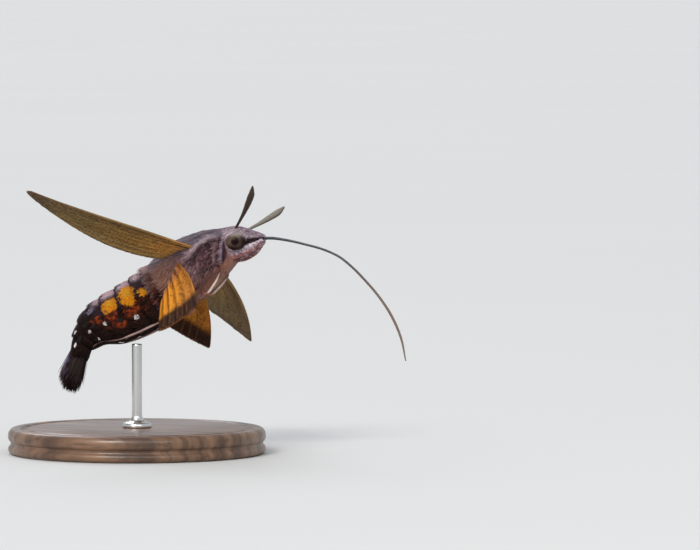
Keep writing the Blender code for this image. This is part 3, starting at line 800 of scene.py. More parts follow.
def thorax_colour(finish, at, turn):
    """Lilac grey above, maroon sides flecked with pink, and a rusty chest, with lines between."""
    patchy = finish.noise(0.7, detail=2).step(0.4, 0.6)
    colour = finish.mixed(BACK_GREY, BACK_BLUE, patchy * 0.7)
    flecks = finish.noise(2.2).step(0.5, 0.64)
    side = finish.mixed(SIDE_MAROON, SIDE_PINK, flecks * 0.8)
    side = finish.mixed(side, SIDE_PINK, spot(at, turn, (9.9, 1.5, 118, 22), 0.2, 1.0) * 0.6)
    colour = finish.mixed(colour, side, turn.step(62, 84))
    wing_root = at.step(9.5, 12.0) * turn.step(48, 72) * (1 - turn.step(104, 124))
    colour = finish.mixed(colour, WING_RUST, wing_root * 0.85)
    colour = finish.mixed(colour, CHEST_RUST, turn.step(126, 150))
    colour = finish.mixed(colour, CHEST_PALE, turn.step(158, 172) * finish.noise(1.6).step(0.4, 0.6) * 0.6)
    # these edges run down and back over the side
    swept = at - 0.028 * (turn - 98)
    low = turn.step(70, 88) * (1 - turn.step(134, 150))
    for centre, half, shade, depth in COLLAR_LINES:
        colour = finish.mixed(colour, shade, swept.near(centre, half * 1.8) * low * depth)
    rising = turn - 5.5 * (at - 6.0)
    top = at.step(5.2, 5.9) * (1 - at.step(8.6, 10.2))
    colour = finish.mixed(colour, PALE_TIP, rising.near(66, 11) * top * 0.9)
    colour = finish.mixed(colour, DARK_LINE, rising.near(80, 9) * top)
    colour = finish.mixed(colour, DARK_LINE, rising.near(46, 7) * top * 0.55)
    return colour


def abdomen_colour(finish, at, turn, ring):
    """A lilac back with dark bands, orange patches and rust below them, and a near-black belly."""
    back = finish.mixed(BACK_LILAC, BACK_BLUE, finish.noise(1.2).step(0.5, 0.68) * 0.5)
    reddened = finish.noise(1.3, detail=2).step(0.45, 0.62) * turn.near(118, 30)
    below = finish.mixed(BELLY_DARK, BELLY_RED, reddened)
    colour = finish.mixed(back, BAND_PURPLE, turn.step(50, 66))
    band = ring.step(0.68, 0.84) * (1 - ring.step(0.97, 1.0)) * (0.45 + 0.55 * turn.step(14, 34))
    colour = finish.mixed(colour, BAND_PURPLE, band)
    colour = finish.mixed(colour, below, turn.step(88, 104))
    colour = finish.mixed(colour, WING_RUST, (1 - at.step(13.9, 15.2)) * (1 - turn.step(92, 112)) * 0.8)
    rear = at.step(21.6, 22.8)
    colour = finish.mixed(colour, BELLY_DARK, rear * (0.82 + 0.16 * turn.step(20, 60)))
    colour = finish.mixed(colour, SPOT_GREY, spot(at, turn, (22.6, 0.55, 68, 9)) * 0.9)
    bloom_and_sheen = rear * (1 - turn.step(20, 60)) * finish.noise(1.5).step(0.5, 0.65)
    colour = finish.mixed(colour, SPOT_GREY, bloom_and_sheen * 0.5)
    for place in RUST_PATCHES:
        patch = spot(at, turn, place, 0.2, 1.1) * finish.noise(1.9).step(0.38, 0.62)
        colour = finish.mixed(colour, RUST, patch)
    for place in ORANGE_PATCHES:
        colour = finish.mixed(colour, ORANGE, spot(at, turn, place, 0.6, 1.0))
        centre, half, angle, spread = place
        bright = (centre, half * 0.75, angle - spread * 0.25, spread * 0.6)
        colour = finish.mixed(colour, ORANGE_PALE, spot(at, turn, bright, 0.1, 1.0) * 0.8)
    return colour


def body_colour(finish):
    """The markings of the body, worked out from the place along it and round it."""
    at = finish.given("distance")
    wander = finish.noise(1.3, detail=2) - 0.5
    turn = finish.given("angle") + wander * 13
    swayed = at + wander * 0.5
    head = head_colour(finish, at, turn)
    thorax = thorax_colour(finish, swayed, turn)
    abdomen = abdomen_colour(finish, swayed, turn, finish.given("ring"))
    colour = finish.mixed(head, thorax, swayed.step(4.5, 5.0))
    return finish.mixed(colour, abdomen, swayed.step(13.5, 14.3))


def body_finish(name, fuzz, pale, root=0.72):
    """The body's markings on skin or coat, with painted shade.

    fuzz is how much the tufts differ, pale how light their tips are, and root how dark their roots are, as
    painted shade deep in the coat. The bare skin is darkened as painted shade under the coat."""
    finish = Finish(name, roughness=0.75, specular_ior_level=0.15)
    colour = body_colour(finish)
    if fuzz:
        tip, chance = finish.given("tip"), finish.given("draw")
        if pale:
            colour = finish.mixed(colour, PALE_TIP, tip.step(0.4, 1.0) * pale * chance.step(0.35, 0.9))
        varied = 1 - fuzz / 2 + chance * fuzz
        # painted shade: each tuft is darker towards its root, where the coat shades itself
        colour = finish.shaded(colour, varied * (root + (1.1 - root) * tip))
    else:
        # painted shade: the bare skin under the coat is darker, in random patches
        colour = finish.shaded(colour, 0.68 + 0.25 * finish.noise(9.0))
        finish.bump(finish.cells(7.0), 0.05)
    return finish.colour(colour)


def make_skin(finish):
    """One skin for the head, thorax and abdomen, pressed in a little round each eye."""
    at = np.concatenate([np.arange(BROW, WAIST, 0.11), np.arange(WAIST, BODY_END + 0.01, 0.07)])
    angles = np.linspace(-180, 180, 120, endpoint=False)
    distance, angle = np.meshgrid(at, angles, indexing="ij")
    rings = skin_point(distance, angle)
    _, _, _, outward = skin_frame(distance, angle)
    for side, _ in SIDES:
        reach = np.linalg.norm((rings - EYE_PLACE * (1, side, 1)) / EYE_RADII, axis=-1)
        rim = EYE_RIM * np.exp(-(((reach - 1.12) / 0.14) ** 2))
        socket = EYE_SOCKET * (1 - ramp(reach, 0.7, 1))
        rings = rings + outward * (rim - socket)[..., None]
    points, triangles = capped_loft(rings)
    marks = {word: with_ends(values) for word, values in body_marks(distance, angle).items()}
    # the seam of the flat map runs along the belly
    flat = body_flat_map(with_ends(distance), with_ends(angle))
    skin = add_piece("body_skin", points, triangles, finish, marks, flat)
    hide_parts("head", "thorax", "abdomen_front", "abdomen_rear")
    return skin


def coat_ways(distance, angle, lift, stray):
    """The lie of the coat on the body: rearward, drawn down over the chest, with a little stray."""
    here, rearward, round_way, outward = skin_frame(distance, angle)
    down = np.sign(angle) * ramp(np.abs(angle), 60, 120) * (1 - ramp(distance, 12, 14))
    down = down * (1 - ramp(np.abs(angle), 160, 178))
    whorl = 0.16 * np.sin(1.9 * distance + 0.05 * angle) + 0.12 * np.sin(4.3 * distance - 0.11 * angle)
    swing = 0.45 * down + whorl + draw.normal(0, stray, distance.shape)
    raised = lift + draw.normal(0, stray * 0.5, distance.shape)
    way = rearward * np.cos(swing)[:, None] + round_way * np.sin(swing)[:, None]
    way = way * np.cos(raised)[:, None] + outward * np.sin(raised)[:, None]
    return here, unit(way), outward


def reach_from_eye(distance, angle):
    """How far each place of the body is from its side's eye, as a share of the eye's own size."""
    here = skin_point(distance, np.abs(angle))
    return np.linalg.norm((here - EYE_PLACE) / EYE_RADII, axis=-1)


def body_marks(distance, angle, length=0.0):
    """The numbers that the body's markings are worked out from, for tufts of this length."""
    return {
        "distance": distance + length * 0.3,
        "angle": np.abs(angle),
        "ring": ring_share(distance),
        "eye": reach_from_eye(distance, angle),
    }


def make_coat(finish):
    """The coat of the head and thorax in fine tufts that lie back along it."""
    bands = (  # name, from, to, tufts, length, width, lift, stray
        ("coat_head", BROW + 0.1, 5.3, 9000, 0.36, 0.075, 0.30, 0.16),
        ("coat_collar", 4.8, 8.2, 8500, 0.80, 0.09, 0.24, 0.17),
        ("coat_thorax_front", 7.8, 11.0, 9300, 1.10, 0.10, 0.22, 0.17),
        ("coat_thorax_rear", 10.6, 14.4, 9300, 1.25, 0.10, 0.20, 0.17),
    )
    for name, low, high, count, length, width, lift, stray in bands:
        distance, angle = scattered(count, low, high)
        kept = reach_from_eye(distance, angle) > EYE_CLEARING
        distance, angle = distance[kept], angle[kept]
        roots, ways, outward = coat_ways(distance, angle, lift, stray)
        sizes = length * draw.uniform(0.7, 1.15, len(distance)) * ramp(distance, -1.6, 2.4)
        chest = ramp(np.abs(angle), 140, 162) * ramp(distance, 4.4, 6) * (1 - ramp(distance, 9, 12))
        sizes = sizes * (1 + 0.3 * chest)
        ways = unit(ways + outward * (0.22 * chest)[:, None])
        marks = body_marks(distance, angle, sizes)
        flat = body_flat_map(distance, angle)
        shape = {"droop": lift * 0.75, "thick": 0.3}
        roots = roots - outward * 0.06
        tufted_piece(name, roots, ways, outward, sizes, width, finish, "grey_pile", flat, marks, **shape)


def make_root_hair(finish):
    """Longer hair on the sides of the thorax that covers the roots of the wings."""
    for side, word in SIDES:
        distance = draw.normal(ROOT_HAIR_PLACE, 1.1, ROOT_HAIRS)
        angle = draw.normal(74, 10, ROOT_HAIRS)
        roots, rearward, round_way, outward = skin_frame(distance, angle * side)
        down = draw.normal(0.15, 0.22, ROOT_HAIRS) * side
        raised = draw.uniform(0.25, 0.75, ROOT_HAIRS)
        ways = rearward + round_way * down[:, None] + outward * raised[:, None]
        sizes = draw.uniform(1.1, 1.9, ROOT_HAIRS)
        marks = body_marks(distance, angle, sizes)
        marks["distance"] = np.maximum(distance, ROOT_HAIR_PLACE)
        flat = body_flat_map(distance, angle * side)
        shape = {"droop": 0.3, "thick": 0.3}
        name = "root_hair_" + word
        tufted_piece(name, roots, ways, outward, sizes, 0.09, finish, "grey_pile", flat, marks, **shape)


def make_abdomen_scales(finish):
    """Flat scales that overlap like tiles over the abdomen, longer along the hind edge of each ring."""
    for name, low, high, count in (("scales_front", 13.8, 20.2, 8600), ("scales_rear", 20.2, 27.3, 7500)):
        distance, angle = scattered(count, low, high)
        roots, ways, outward = coat_ways(distance, angle, 0.12, 0.07)
        edge = ramp(ring_share(distance), 0.55, 0.8)
        sizes = (0.40 + 0.20 * edge) * draw.uniform(0.8, 1.15, len(distance))
        marks = body_marks(distance, angle, sizes)
        flat = body_flat_map(distance, angle)
        shape = {"droop": 0.1, "thick": 0.12, "stations": SCALE_STATIONS}
        roots = roots - outward * 0.03
        tufted_piece(name, roots, ways, outward, sizes, 0.2, finish, "banded_scales", flat, marks, **shape)


def eye_finish():
    """A faceted eye: grey-brown with a darker spot in its middle, lighter over its top as painted light, and
    dark below and at its front as painted shade.
    """
    finish = Finish("eye_facets", roughness=0.3, specular_ior_level=0.06)
    reach, height = finish.given("reach"), finish.given("height")
    colour = finish.mixed(EYE_BLACK, EYE_BROWN, reach.step(0.0, 0.35))
    colour = finish.mixed(colour, EYE_RING, reach.step(0.3, 0.5))
    # painted light: the top of the eye is lighter grey
    colour = finish.mixed(colour, EYE_PAINTED_LIGHT, height.step(0.15, 0.65) * reach.step(0.35, 0.6) * 0.8)
    # painted shade: the bottom and the front of the eye are darker
    colour = finish.mixed(colour, EYE_PAINTED_SHADE, (1 - height.step(-0.85, -0.3)) * 0.95)
    colour = finish.mixed(colour, EYE_PAINTED_SHADE, finish.given("front").step(0.5, 0.95) * 0.9)
    return finish.colour(finish.shaded(colour, 0.7 + 0.6 * finish.noise(6.0)))


def make_eyes(finish):
    """Two eyes of small domed facets, each the dual of a ball of triangles."""
    ball = bmesh.new()
    bmesh.ops.create_icosphere(ball, subdivisions=5, radius=1)
    domes = np.array([v.co for v in ball.verts])
    corners = np.array([f.calc_center_median() for f in ball.faces])
    faces = np.array([[v.index for v in f.verts] for f in ball.faces])
    ball.free()
    corners = unit(corners) * 0.985
    base = len(domes)
    middle = base + np.arange(len(faces))
    wedges = [np.stack([faces[:, k], faces[:, (k + 1) % 3], middle], 1) for k in range(3)]
    triangles = np.concatenate(wedges)
    shape = np.concatenate([domes, corners])
    for side, word in SIDES:
        points = (EYE_PLACE + shape * EYE_RADII) * (1, side, 1)
        outline = triangles if side == LEFT else triangles[:, ::-1]
        reach = np.linalg.norm(shape - unit(np.array(PUPIL_WAY)), axis=1)
        marks = {"reach": reach, "height": shape[:, 2], "front": shape[:, 0]}
        eye = add_piece("eye_facets_" + word, points, outline, finish, marks)
        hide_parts("eye_" + word)


def nearest_place(points):
    """The distances and angles of the places of the head's left side that are nearest to points."""
    distance, angle = np.meshgrid(np.linspace(0.6, 6.5, 60), np.linspace(50, 160, 60), indexing="ij")
    places = body_point(distance, angle).reshape(-1, 3)
    nearest = np.linalg.norm(points[:, None] - places[None], axis=-1).argmin(1)
    return distance.ravel()[nearest], angle.ravel()[nearest]


def make_eye_fringe(finish):
    """Short fur that laps over the edge of each eye and lies away from its middle."""
    axis = unit(np.array(PUPIL_WAY))
    first = unit(np.cross(axis, (0, 0, 1.0)))
    second = np.cross(axis, first)
    for side, word in SIDES:
        turn = draw.uniform(0, 2 * math.pi, EYE_FRINGE)
        lean = np.radians(draw.uniform(57, 74, EYE_FRINGE))
        sideways = first * np.cos(turn)[:, None] + second * np.sin(turn)[:, None]
        root, ahead = (
            EYE_PLACE + (axis * np.cos(a)[:, None] + sideways * np.sin(a)[:, None]) * EYE_RADII * size
            for a, size in ((lean, 1.0), (lean + 0.3, 1.04))
        )
        outward = unit((root - EYE_PLACE) / EYE_RADII**2)
        way = unit(unit(ahead - root) + np.array((-0.3, 0, -0.1)))
        distance, angle = nearest_place(ahead)
        sizes = draw.uniform(0.26, 0.42, EYE_FRINGE)
        flat = body_flat_map(distance, angle * side)
        mirror = np.array((1, side, 1))
        tufted_piece(
            "eye_fringe_" + word,
            root * mirror,
            way * mirror,
            outward * mirror,
            sizes,
            0.065,
            finish,
            "grey_pile",
            flat,
            body_marks(distance, angle),
            droop=0.08,
            thick=0.25,
        )


class Limb:
    """A long form with an oval section, along a smooth line: a palp, a leg, an antenna."""

    def __init__(self, joints, knots, widths, depths, across):
        self.joints = np.asarray(joints, float)
        self.profile = [np.asarray(row, float) for row in (knots, widths, depths)]
        self.across = np.asarray(across, float)
        self.length = path_lengths(self.joints)[-1]

    def point(self, share, turn, lift=0.0):
        """Points at these shares of the length and degrees round it, at this height over it."""
        share, turn = np.broadcast_arrays(np.asarray(share, float), np.asarray(turn, float))
        centre = along(self.joints, share)
        before, after = np.maximum(share - 0.01, 0), np.minimum(share + 0.01, 1)
        ahead = unit(along(self.joints, after) - along(self.joints, before))
        side = unit(self.across - ahead * (ahead @ self.across)[..., None])
        up = np.cross(ahead, side)
        width, depth = (smooth(share, self.profile[0], row) + lift for row in self.profile[1:])
        turn = np.radians(turn)
        return centre + side * (np.sin(turn) * width)[..., None] + up * (np.cos(turn) * depth)[..., None]

    def frame(self, share, turn):
        """The points with the unit directions along the limb and outward from it."""
        here = self.point(share, turn)
        ahead = unit(self.point(share + 0.005, turn) - self.point(share - 0.005, turn))
        round_way = unit(self.point(share, turn + 2) - self.point(share, turn - 2))
        outward = np.cross(round_way, ahead)
        middle = along(self.joints, share)
        outward *= np.sign((outward * (here - middle)).sum(-1, keepdims=True))
        return here, ahead, unit(outward)

    def skin(self, name, shares, sides, finish, slot, lift=0.0, marks=None):
        """The limb's surface as a piece. lift is one number, or one for each share."""
        turns = np.linspace(0, 360, sides, endpoint=False)
        share, turn = np.meshgrid(shares, turns, indexing="ij")
        rings = self.point(share, turn, np.asarray(lift, float).reshape(-1, 1))
        points, triangles = capped_loft(rings)
        held = {"share": with_ends(share), "turn": with_ends(turn)}
        flat = np.stack([0.02 + 0.96 * held["turn"] / 360, 0.02 + 0.96 * held["share"]], -1)
        return add_piece(name, points, triangles, finish, {**held, **(marks or {})}, flat)

    def tufts(self, name, finish, slot, count, size, width, lift, stray, span=(0.0, 1.0), **shape):
        """Short tufts that lie along the limb towards its end."""
        share = draw.uniform(*span, count)
        turn = draw.uniform(0, 360, count)
        here, ahead, outward = self.frame(share, turn)
        round_way = np.cross(outward, ahead)
        way = ahead + outward * lift + round_way * draw.normal(0, stray, count)[:, None]
        lengths = size * draw.uniform(0.75, 1.15, count)
        flat = np.stack([0.02 + 0.96 * turn / 360, 0.02 + 0.96 * share], -1)
        marks = {"share": share, "turn": turn}
        roots, way = here - outward * 0.03, unit(way)
        tufted_piece(name, roots, way, outward, lengths, width, finish, slot, flat, marks, **shape)


def palp_colour(finish, tipped):
    """Dusky pink scales, white above, rusty below, and dark along the upper edge under the eye's stripe."""
    turn = finish.given("turn")
    low = (turn - 180).size()
    share = finish.given("share")
    flecks = finish.noise(2.7, detail=2)
    colour = finish.mixed(PALP_PINK, PALP_DUSK, flecks.step(0.48, 0.58) * 0.85)
    colour = finish.mixed(colour, PALP_WHITE, low.step(62, 96) * (1 - flecks.step(0.50, 0.60) * 0.75))
    colour = finish.mixed(colour, PALP_RUST, (1 - low.step(28, 66)) * 0.8)
    colour = finish.mixed(colour, PALP_WHITE, (1 - flecks.step(0.38, 0.46)) * 0.7)
    upper_edge = low.step(138, 152) * share.step(0.3, 0.45) * (1 - share.step(0.7, 0.9))
    colour = finish.mixed(colour, STRIPE_DARK, upper_edge)
    if tipped:
        # painted shade: each scale is darker towards its root
        colour = finish.shaded(colour, 0.68 + 0.4 * finish.given("tip"))
        colour = finish.shaded(colour, 0.72 + 0.5 * finish.given("draw"))
    return finish.colour(colour)


def make_palps():
    """The two upturned palps that close the face from below, each with a coat of short scales."""
    skin = palp_colour(Finish("palp_skin", roughness=0.8, specular_ior_level=0.1), False)
    coat = palp_colour(Finish("palp_scales", roughness=0.75, specular_ior_level=0.15), True)
    shares = np.linspace(0, 1, 40)
    for side, word in SIDES:
        line = np.array(PALP_LINE) * (1, side, 1)
        knots = path_lengths(line) / path_lengths(line)[-1]
        widths = np.array(PALP_HALF_WIDTHS) - PALP_COAT
        depths = np.array(PALP_HALF_DEPTHS) - PALP_COAT
        palp = Limb(line, knots, widths, depths, (0, 1, 0))
        piece = palp.skin("palp_skin_" + word, shares, 32, skin, "pale_pile")
        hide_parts("palp_" + word)
        palp.tufts("palp_scales_" + word, coat, "pale_pile", **PALP_SCALES)


def make_antennae():
    """Two clubbed antennae of many short joints, each ending in a small hook."""
    finish = Finish("antenna_scales", roughness=0.55, specular_ior_level=0.3)
    inner = finish.given("inner")
    colour = finish.mixed(ANTENNA_DARK, ANTENNA_PALE, inner.step(-0.15, 0.55))
    colour = finish.mixed(colour, ANTENNA_RINGS, inner.step(0.2, 0.8) * finish.given("band") * 0.5)
    finish.colour(finish.shaded(colour, 0.75 + 0.5 * finish.noise(6.0)))
    bristle = Finish("antenna_bristles", roughness=0.5)
    bristle.colour(bristle.mixed(BRISTLE_DARK, BRISTLE_PALE, bristle.given("tip")))
    shares = np.linspace(0, 1, ANTENNA_JOINTS * 6 + 1)
    part = (shares * ANTENNA_JOINTS) % 1.0
    rise = 0.028 * np.sin(np.pi * np.minimum(part * 1.15, 1)) ** 0.5
    for side, word in SIDES:
        ahead = unit(np.array((0.52, 0.62 * side, 0.59)))
        back = np.array((-0.35, 0.2 * side, 0.3))
        s = np.linspace(0, 1, 40)[:, None]
        bow = 0.05 * np.sin(np.pi * s) - 0.06 * np.maximum(0, s - 0.85) / 0.15
        root = np.array(ANTENNA_ROOT) * (1, side, 1)
        line = root + (ahead * s - back * bow) * ANTENNA_LENGTH
        knots = np.linspace(0, 1, len(ANTENNA_RADII))
        limb = Limb(line, knots, ANTENNA_RADII, ANTENNA_RADII, (0, 1, 0))
        turns = np.linspace(0, 360, ANTENNA_SIDES, endpoint=False)
        _, _, outward = limb.frame(*np.meshgrid(shares, turns, indexing="ij"))
        facing = outward @ unit(np.array((0.1, -side, 0.35)))
        band = np.repeat(np.sin(np.pi * part)[:, None], ANTENNA_SIDES, axis=1)
        marks = {"inner": with_ends(facing), "band": with_ends(band)}
        tag = "antenna_" + word
        piece = limb.skin(tag + "_joints", shares, ANTENNA_SIDES, finish, "antenna_scales", rise, marks)
        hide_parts(tag)
        limb.tufts("antenna_bristles_" + word, bristle, "antenna_scales", **ANTENNA_BRISTLES)


def make_proboscis():
    """The uncoiled tongue: two half tubes side by side, finely ringed, blue-black then brown, with a painted
    sheen along the top near its root.
    """
    finish = Finish("proboscis_horn", roughness=0.3, coat_weight=0.2, coat_roughness=0.2)
    share, turn = finish.given("share"), finish.given("turn")
    colour = finish.mixed(TONGUE_BLUE, TONGUE_BROWN, share.step(0.3, 0.75))
    colour = finish.mixed(colour, TONGUE_TAN, turn.near(0, 40) * share.step(0.35, 0.7) * 0.6)
    # painted highlight: a pale sheen along the upper side, near the root
    edge = turn.near(20, 50) * (1 - share.step(0.2, 0.5))
    colour = finish.mixed(colour, TONGUE_SHEEN, edge * 0.8)
    finish.colour(finish.shaded(colour, 0.75 + 0.5 * finish.noise(3.0)))
    line = np.array([(forward, 0, up) for forward, up in PROBOSCIS_LINE])
    limb = Limb(line, PROBOSCIS_KNOTS, PROBOSCIS_RADII, PROBOSCIS_RADII, (0, 1, 0))
    shares = np.linspace(0, 1, PROBOSCIS_STEPS)
    turns = np.linspace(0, 360, PROBOSCIS_SIDES, endpoint=False)
    share, turn = np.meshgrid(shares, turns, indexing="ij")
    groove = np.abs(np.cos(np.radians(turn))) ** 9 * 0.3 + 0.12 * np.abs(np.cos(np.radians(turn)))
    rings = 0.03 * np.sin(2 * np.pi * share * limb.length / PROBOSCIS_RING)
    radius = smooth(share, PROBOSCIS_KNOTS, PROBOSCIS_RADII)
    points, triangles = capped_loft(limb.point(share, turn, radius * (rings - groove)))
    marks = {"share": with_ends(share), "turn": with_ends(np.minimum(turn, 360 - turn))}
    piece = add_piece("proboscis_tubes", points, triangles, finish, marks)
    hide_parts("proboscis")


def leg_colour(finish, word):
    """A leg's colour from its thigh to its foot, a little mottled."""
    thigh, shin, foot = LEG_SHADES[word]
    share = finish.given("share")
    colour = finish.mixed(CHEST_RUST, thigh, share.step(0.09, 0.15))
    colour = finish.mixed(colour, shin, share.step(0.28, 0.42))
    colour = finish.mixed(colour, foot, share.step(0.68, 0.8))
    return finish.mixed(colour, LEG_MOTTLE, finish.noise(2.5).step(0.5, 0.7) * 0.35)


def make_legs():
    """Three pairs of thin legs with close scales, spurs on the shins, and small claws."""
    horn = Finish("leg_spurs", roughness=0.4)
    horn.colour(horn.mixed(SPUR_ROOT, SPUR_TIP, horn.given("tip")))
    for word, line in LEG_LINES.items():
        knots, radii = LEG_PROFILES[word]
        skin = Finish(word + "_skin", roughness=0.7, specular_ior_level=0.15)
        skin.colour(skin.shaded(leg_colour(skin, word), 0.8))
        coat = Finish(word + "_scales", roughness=0.7, specular_ior_level=0.2)
        coat.colour(coat.shaded(leg_colour(coat, word), 0.7 + 0.45 * coat.given("draw")))
        for side, name in SIDES:
            tuck = FAR_TUCK if side == LEFT and word != "hindleg" else 0
            joints = np.array([body_point(at, angle * side, lift - tuck) for at, angle, lift in line])
            limb = Limb(joints, knots, radii, radii, unit(body_point(9, 100 * side) - body_point(9, 0)))
            shares = np.linspace(0, 1, 110)
            feet = ramp(shares, 0.7, 0.72) * 0.025 * np.abs(np.sin(np.pi * (shares - 0.7) / 0.3 * 5)) ** 0.5
            tag = word + "_" + name
            piece = limb.skin(tag + "_skin", shares, 16, skin, "leg_scales", feet)
            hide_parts(tag)
            limb.tufts(tag + "_scales", coat, "leg_scales", **LEG_SCALES)
            make_spurs(tag, limb, word, horn)


def make_spurs(tag, limb, word, finish):
    """Spurs on the shin, fine spines along the foot and two claws at its end."""
    spines = np.repeat(np.linspace(0.74, 0.97, SPINE_PAIRS), 2)
    share = np.concatenate([LEG_SPURS[word], spines, (0.99, 0.99)])
    spurs = len(LEG_SPURS[word])
    turn = np.concatenate([np.tile((150, 210), spurs)[:spurs], np.tile((110, 250), SPINE_PAIRS), (140, 220)])
    sizes = np.concatenate([np.full(spurs, 0.62), np.full(len(spines), 0.16), (0.3, 0.3)])
    widths = np.concatenate([np.full(spurs, 0.1), np.full(len(spines), 0.035), (0.09, 0.09)])
    here, ahead, outward = limb.frame(np.minimum(share, 0.99), turn)
    way = unit(ahead + outward * 0.55)
    flat = np.stack([0.1 + 0.8 * turn / 360, 0.1 + 0.8 * share], -1)
    roots = here - outward * 0.04
    shape = {"droop": 0.25, "thick": 0.8}
    tufted_piece(tag + "_spurs", roots, way, outward, sizes, widths, finish, "horny", flat, **shape)


class Wing:
    """A wing's outline, curve and pose. Its root lies in the body's side."""

    def __init__(self, root, shape, pose, side):
        self.root = np.array(root) * (1, side, 1)
        self.shape = shape
        self.side = side
        self.flex = pose["flex"]
        self.twist = [math.radians(a) for a in pose["twist"]]
        sweep, lift = math.radians(pose["sweep"]), math.radians(pose["lift"])
        flat = math.cos(lift)
        self.out = np.array((-math.sin(sweep) * flat, side * math.cos(sweep) * flat, math.sin(lift)))
        self.lead = np.array((math.cos(sweep), side * math.sin(sweep), 0))
        self.up = np.cross(self.out, self.lead) * -side

    def point(self, reach, across, height=0.0):
        """Points at these shares of the length and width, at this height over the mid surface."""
        reach, across, height = np.broadcast_arrays(reach, across, height)
        size = self.shape
        spread = np.maximum(reach, 0)
        arch = size["arch"] * (np.sin(np.pi * spread) - 0.9 * spread**4)
        rear_width = size["root_chord"] + (size["chord"] - size["root_chord"]) * spread ** size["fill"]
        front = np.stack([reach * size["length"], arch], -1)
        rear = np.stack([reach * size["rear_at"] * size["length"], -rear_width], -1)
        flat = front + (rear - front) * across[..., None]
        outward = unit(np.stack([front[..., 1] - rear[..., 1], rear[..., 0] - front[..., 0]], -1))
        outward = outward * np.sign(outward[..., :1])
        flat = flat + outward * (size["bulge"] * 4 * across * (1 - across) * spread**3)[..., None]
        height = height + size["camber"] * np.sin(np.pi * across) * (0.3 + spread)
        twist = self.twist[0] + (self.twist[1] - self.twist[0]) * spread
        lead = flat[..., 1] * np.cos(twist) - height * np.sin(twist)
        rise = flat[..., 1] * np.sin(twist) + height * np.cos(twist) + self.flex * spread**2
        place = self.root + self.out * flat[..., :1] + self.lead * lead[..., None]
        return place + self.up * rise[..., None]

    def frame(self, reach, across):
        """The points with the unit directions towards the tip, towards the rear and up from the surface."""
        step = 0.004
        here = self.point(reach, across)
        before = np.maximum(reach - step, 0.001)
        tipward = unit(self.point(reach + step, across) - self.point(before, across))
        rearward = unit(self.point(reach, across + step) - self.point(reach, across - step))
        upward = unit(np.cross(tipward, rearward)) * -self.side
        return here, tipward, rearward, upward

    def veins(self, reach, across):
        """How strongly a vein is raised at each place, from 0 to 1."""
        count = self.shape["veins"]
        middle = across * (count - 1)
        main = np.exp(-(((middle - np.round(middle)) / 0.085) ** 2))
        fork = np.exp(-(((middle - np.floor(middle) - 0.5) / 0.075) ** 2)) * ramp(reach, 0.5, 0.62)
        fork = fork * (np.floor(middle) % 3 == 1)
        off_cross = reach - 0.5 - 0.03 * np.cos(middle * np.pi)
        cross = np.exp(-((off_cross / 0.008) ** 2)) * (across > 0.1) * (across < 0.6)
        return np.clip(np.maximum(np.maximum(main, 0.8 * fork), 0.8 * cross), 0, 1)

    def surface(self, reach, across, face):
        """The upper (1) or lower (-1) side: a thin membrane, folded a little between its raised veins."""
        vein = self.veins(reach, across)
        middle = across * (self.shape["veins"] - 1)
        fold = WING_FOLD * np.cos(2 * np.pi * middle) * ramp(reach, 0.02, 0.3)
        rise = VEIN_RISE * vein * (1.25 - 0.8 * reach)
        return self.point(reach, across, fold + face * (MEMBRANE / 2 + rise))


def wing_flat_map(reach, across, face):
    """A wing's flat map of colours: the upper side in the upper half, the lower side below it."""
    return np.stack([0.02 + 0.96 * reach, 0.26 + 0.24 * face + 0.46 * (1 - across) * 0.98 + 0.01], -1)


def make_membrane(name, wing, finish, slot):
    """The wing's own thin solid, with its veins."""
    reach = np.concatenate([[-0.02], np.linspace(0.0, WING_END, 95)])
    across = np.linspace(0.012, WING_REAR, 112)
    reach, across = np.meshgrid(reach, across, indexing="ij")
    rows, columns = reach.shape
    sheets = [wing.surface(reach, across, face).reshape(-1, 3) for face in (1, -1)]
    half = rows * columns
    upper = grid_triangles(rows, columns, closed=False)
    lower = upper[:, ::-1] + half
    rim = [(0, k) for k in range(columns)]
    rim += [(i, columns - 1) for i in range(1, rows)]
    rim += [(rows - 1, k) for k in range(columns - 2, -1, -1)]
    rim += [(i, 0) for i in range(rows - 2, 0, -1)]
    edge = np.array([i * columns + k for i, k in rim])
    nexts = np.roll(edge, -1)
    rim_first = np.stack([edge, edge + half, nexts + half], 1)
    rim_second = np.stack([edge, nexts + half, nexts], 1)
    triangles = np.concatenate([upper, lower, rim_first, rim_second])
    if wing.side == LEFT:
        triangles = triangles[:, ::-1]
    marks = {
        "reach": np.tile(reach.ravel(), 2),
        "across": np.tile(across.ravel(), 2),
        "face": np.repeat((1.0, -1.0), half),
        "vein": np.tile(wing.veins(reach, across).ravel(), 2),
    }
    flat = wing_flat_map(np.maximum(marks["reach"], 0), marks["across"], marks["face"])
    piece = add_piece(name + "_membrane", np.concatenate(sheets), triangles, finish, marks, flat)
    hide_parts(name)


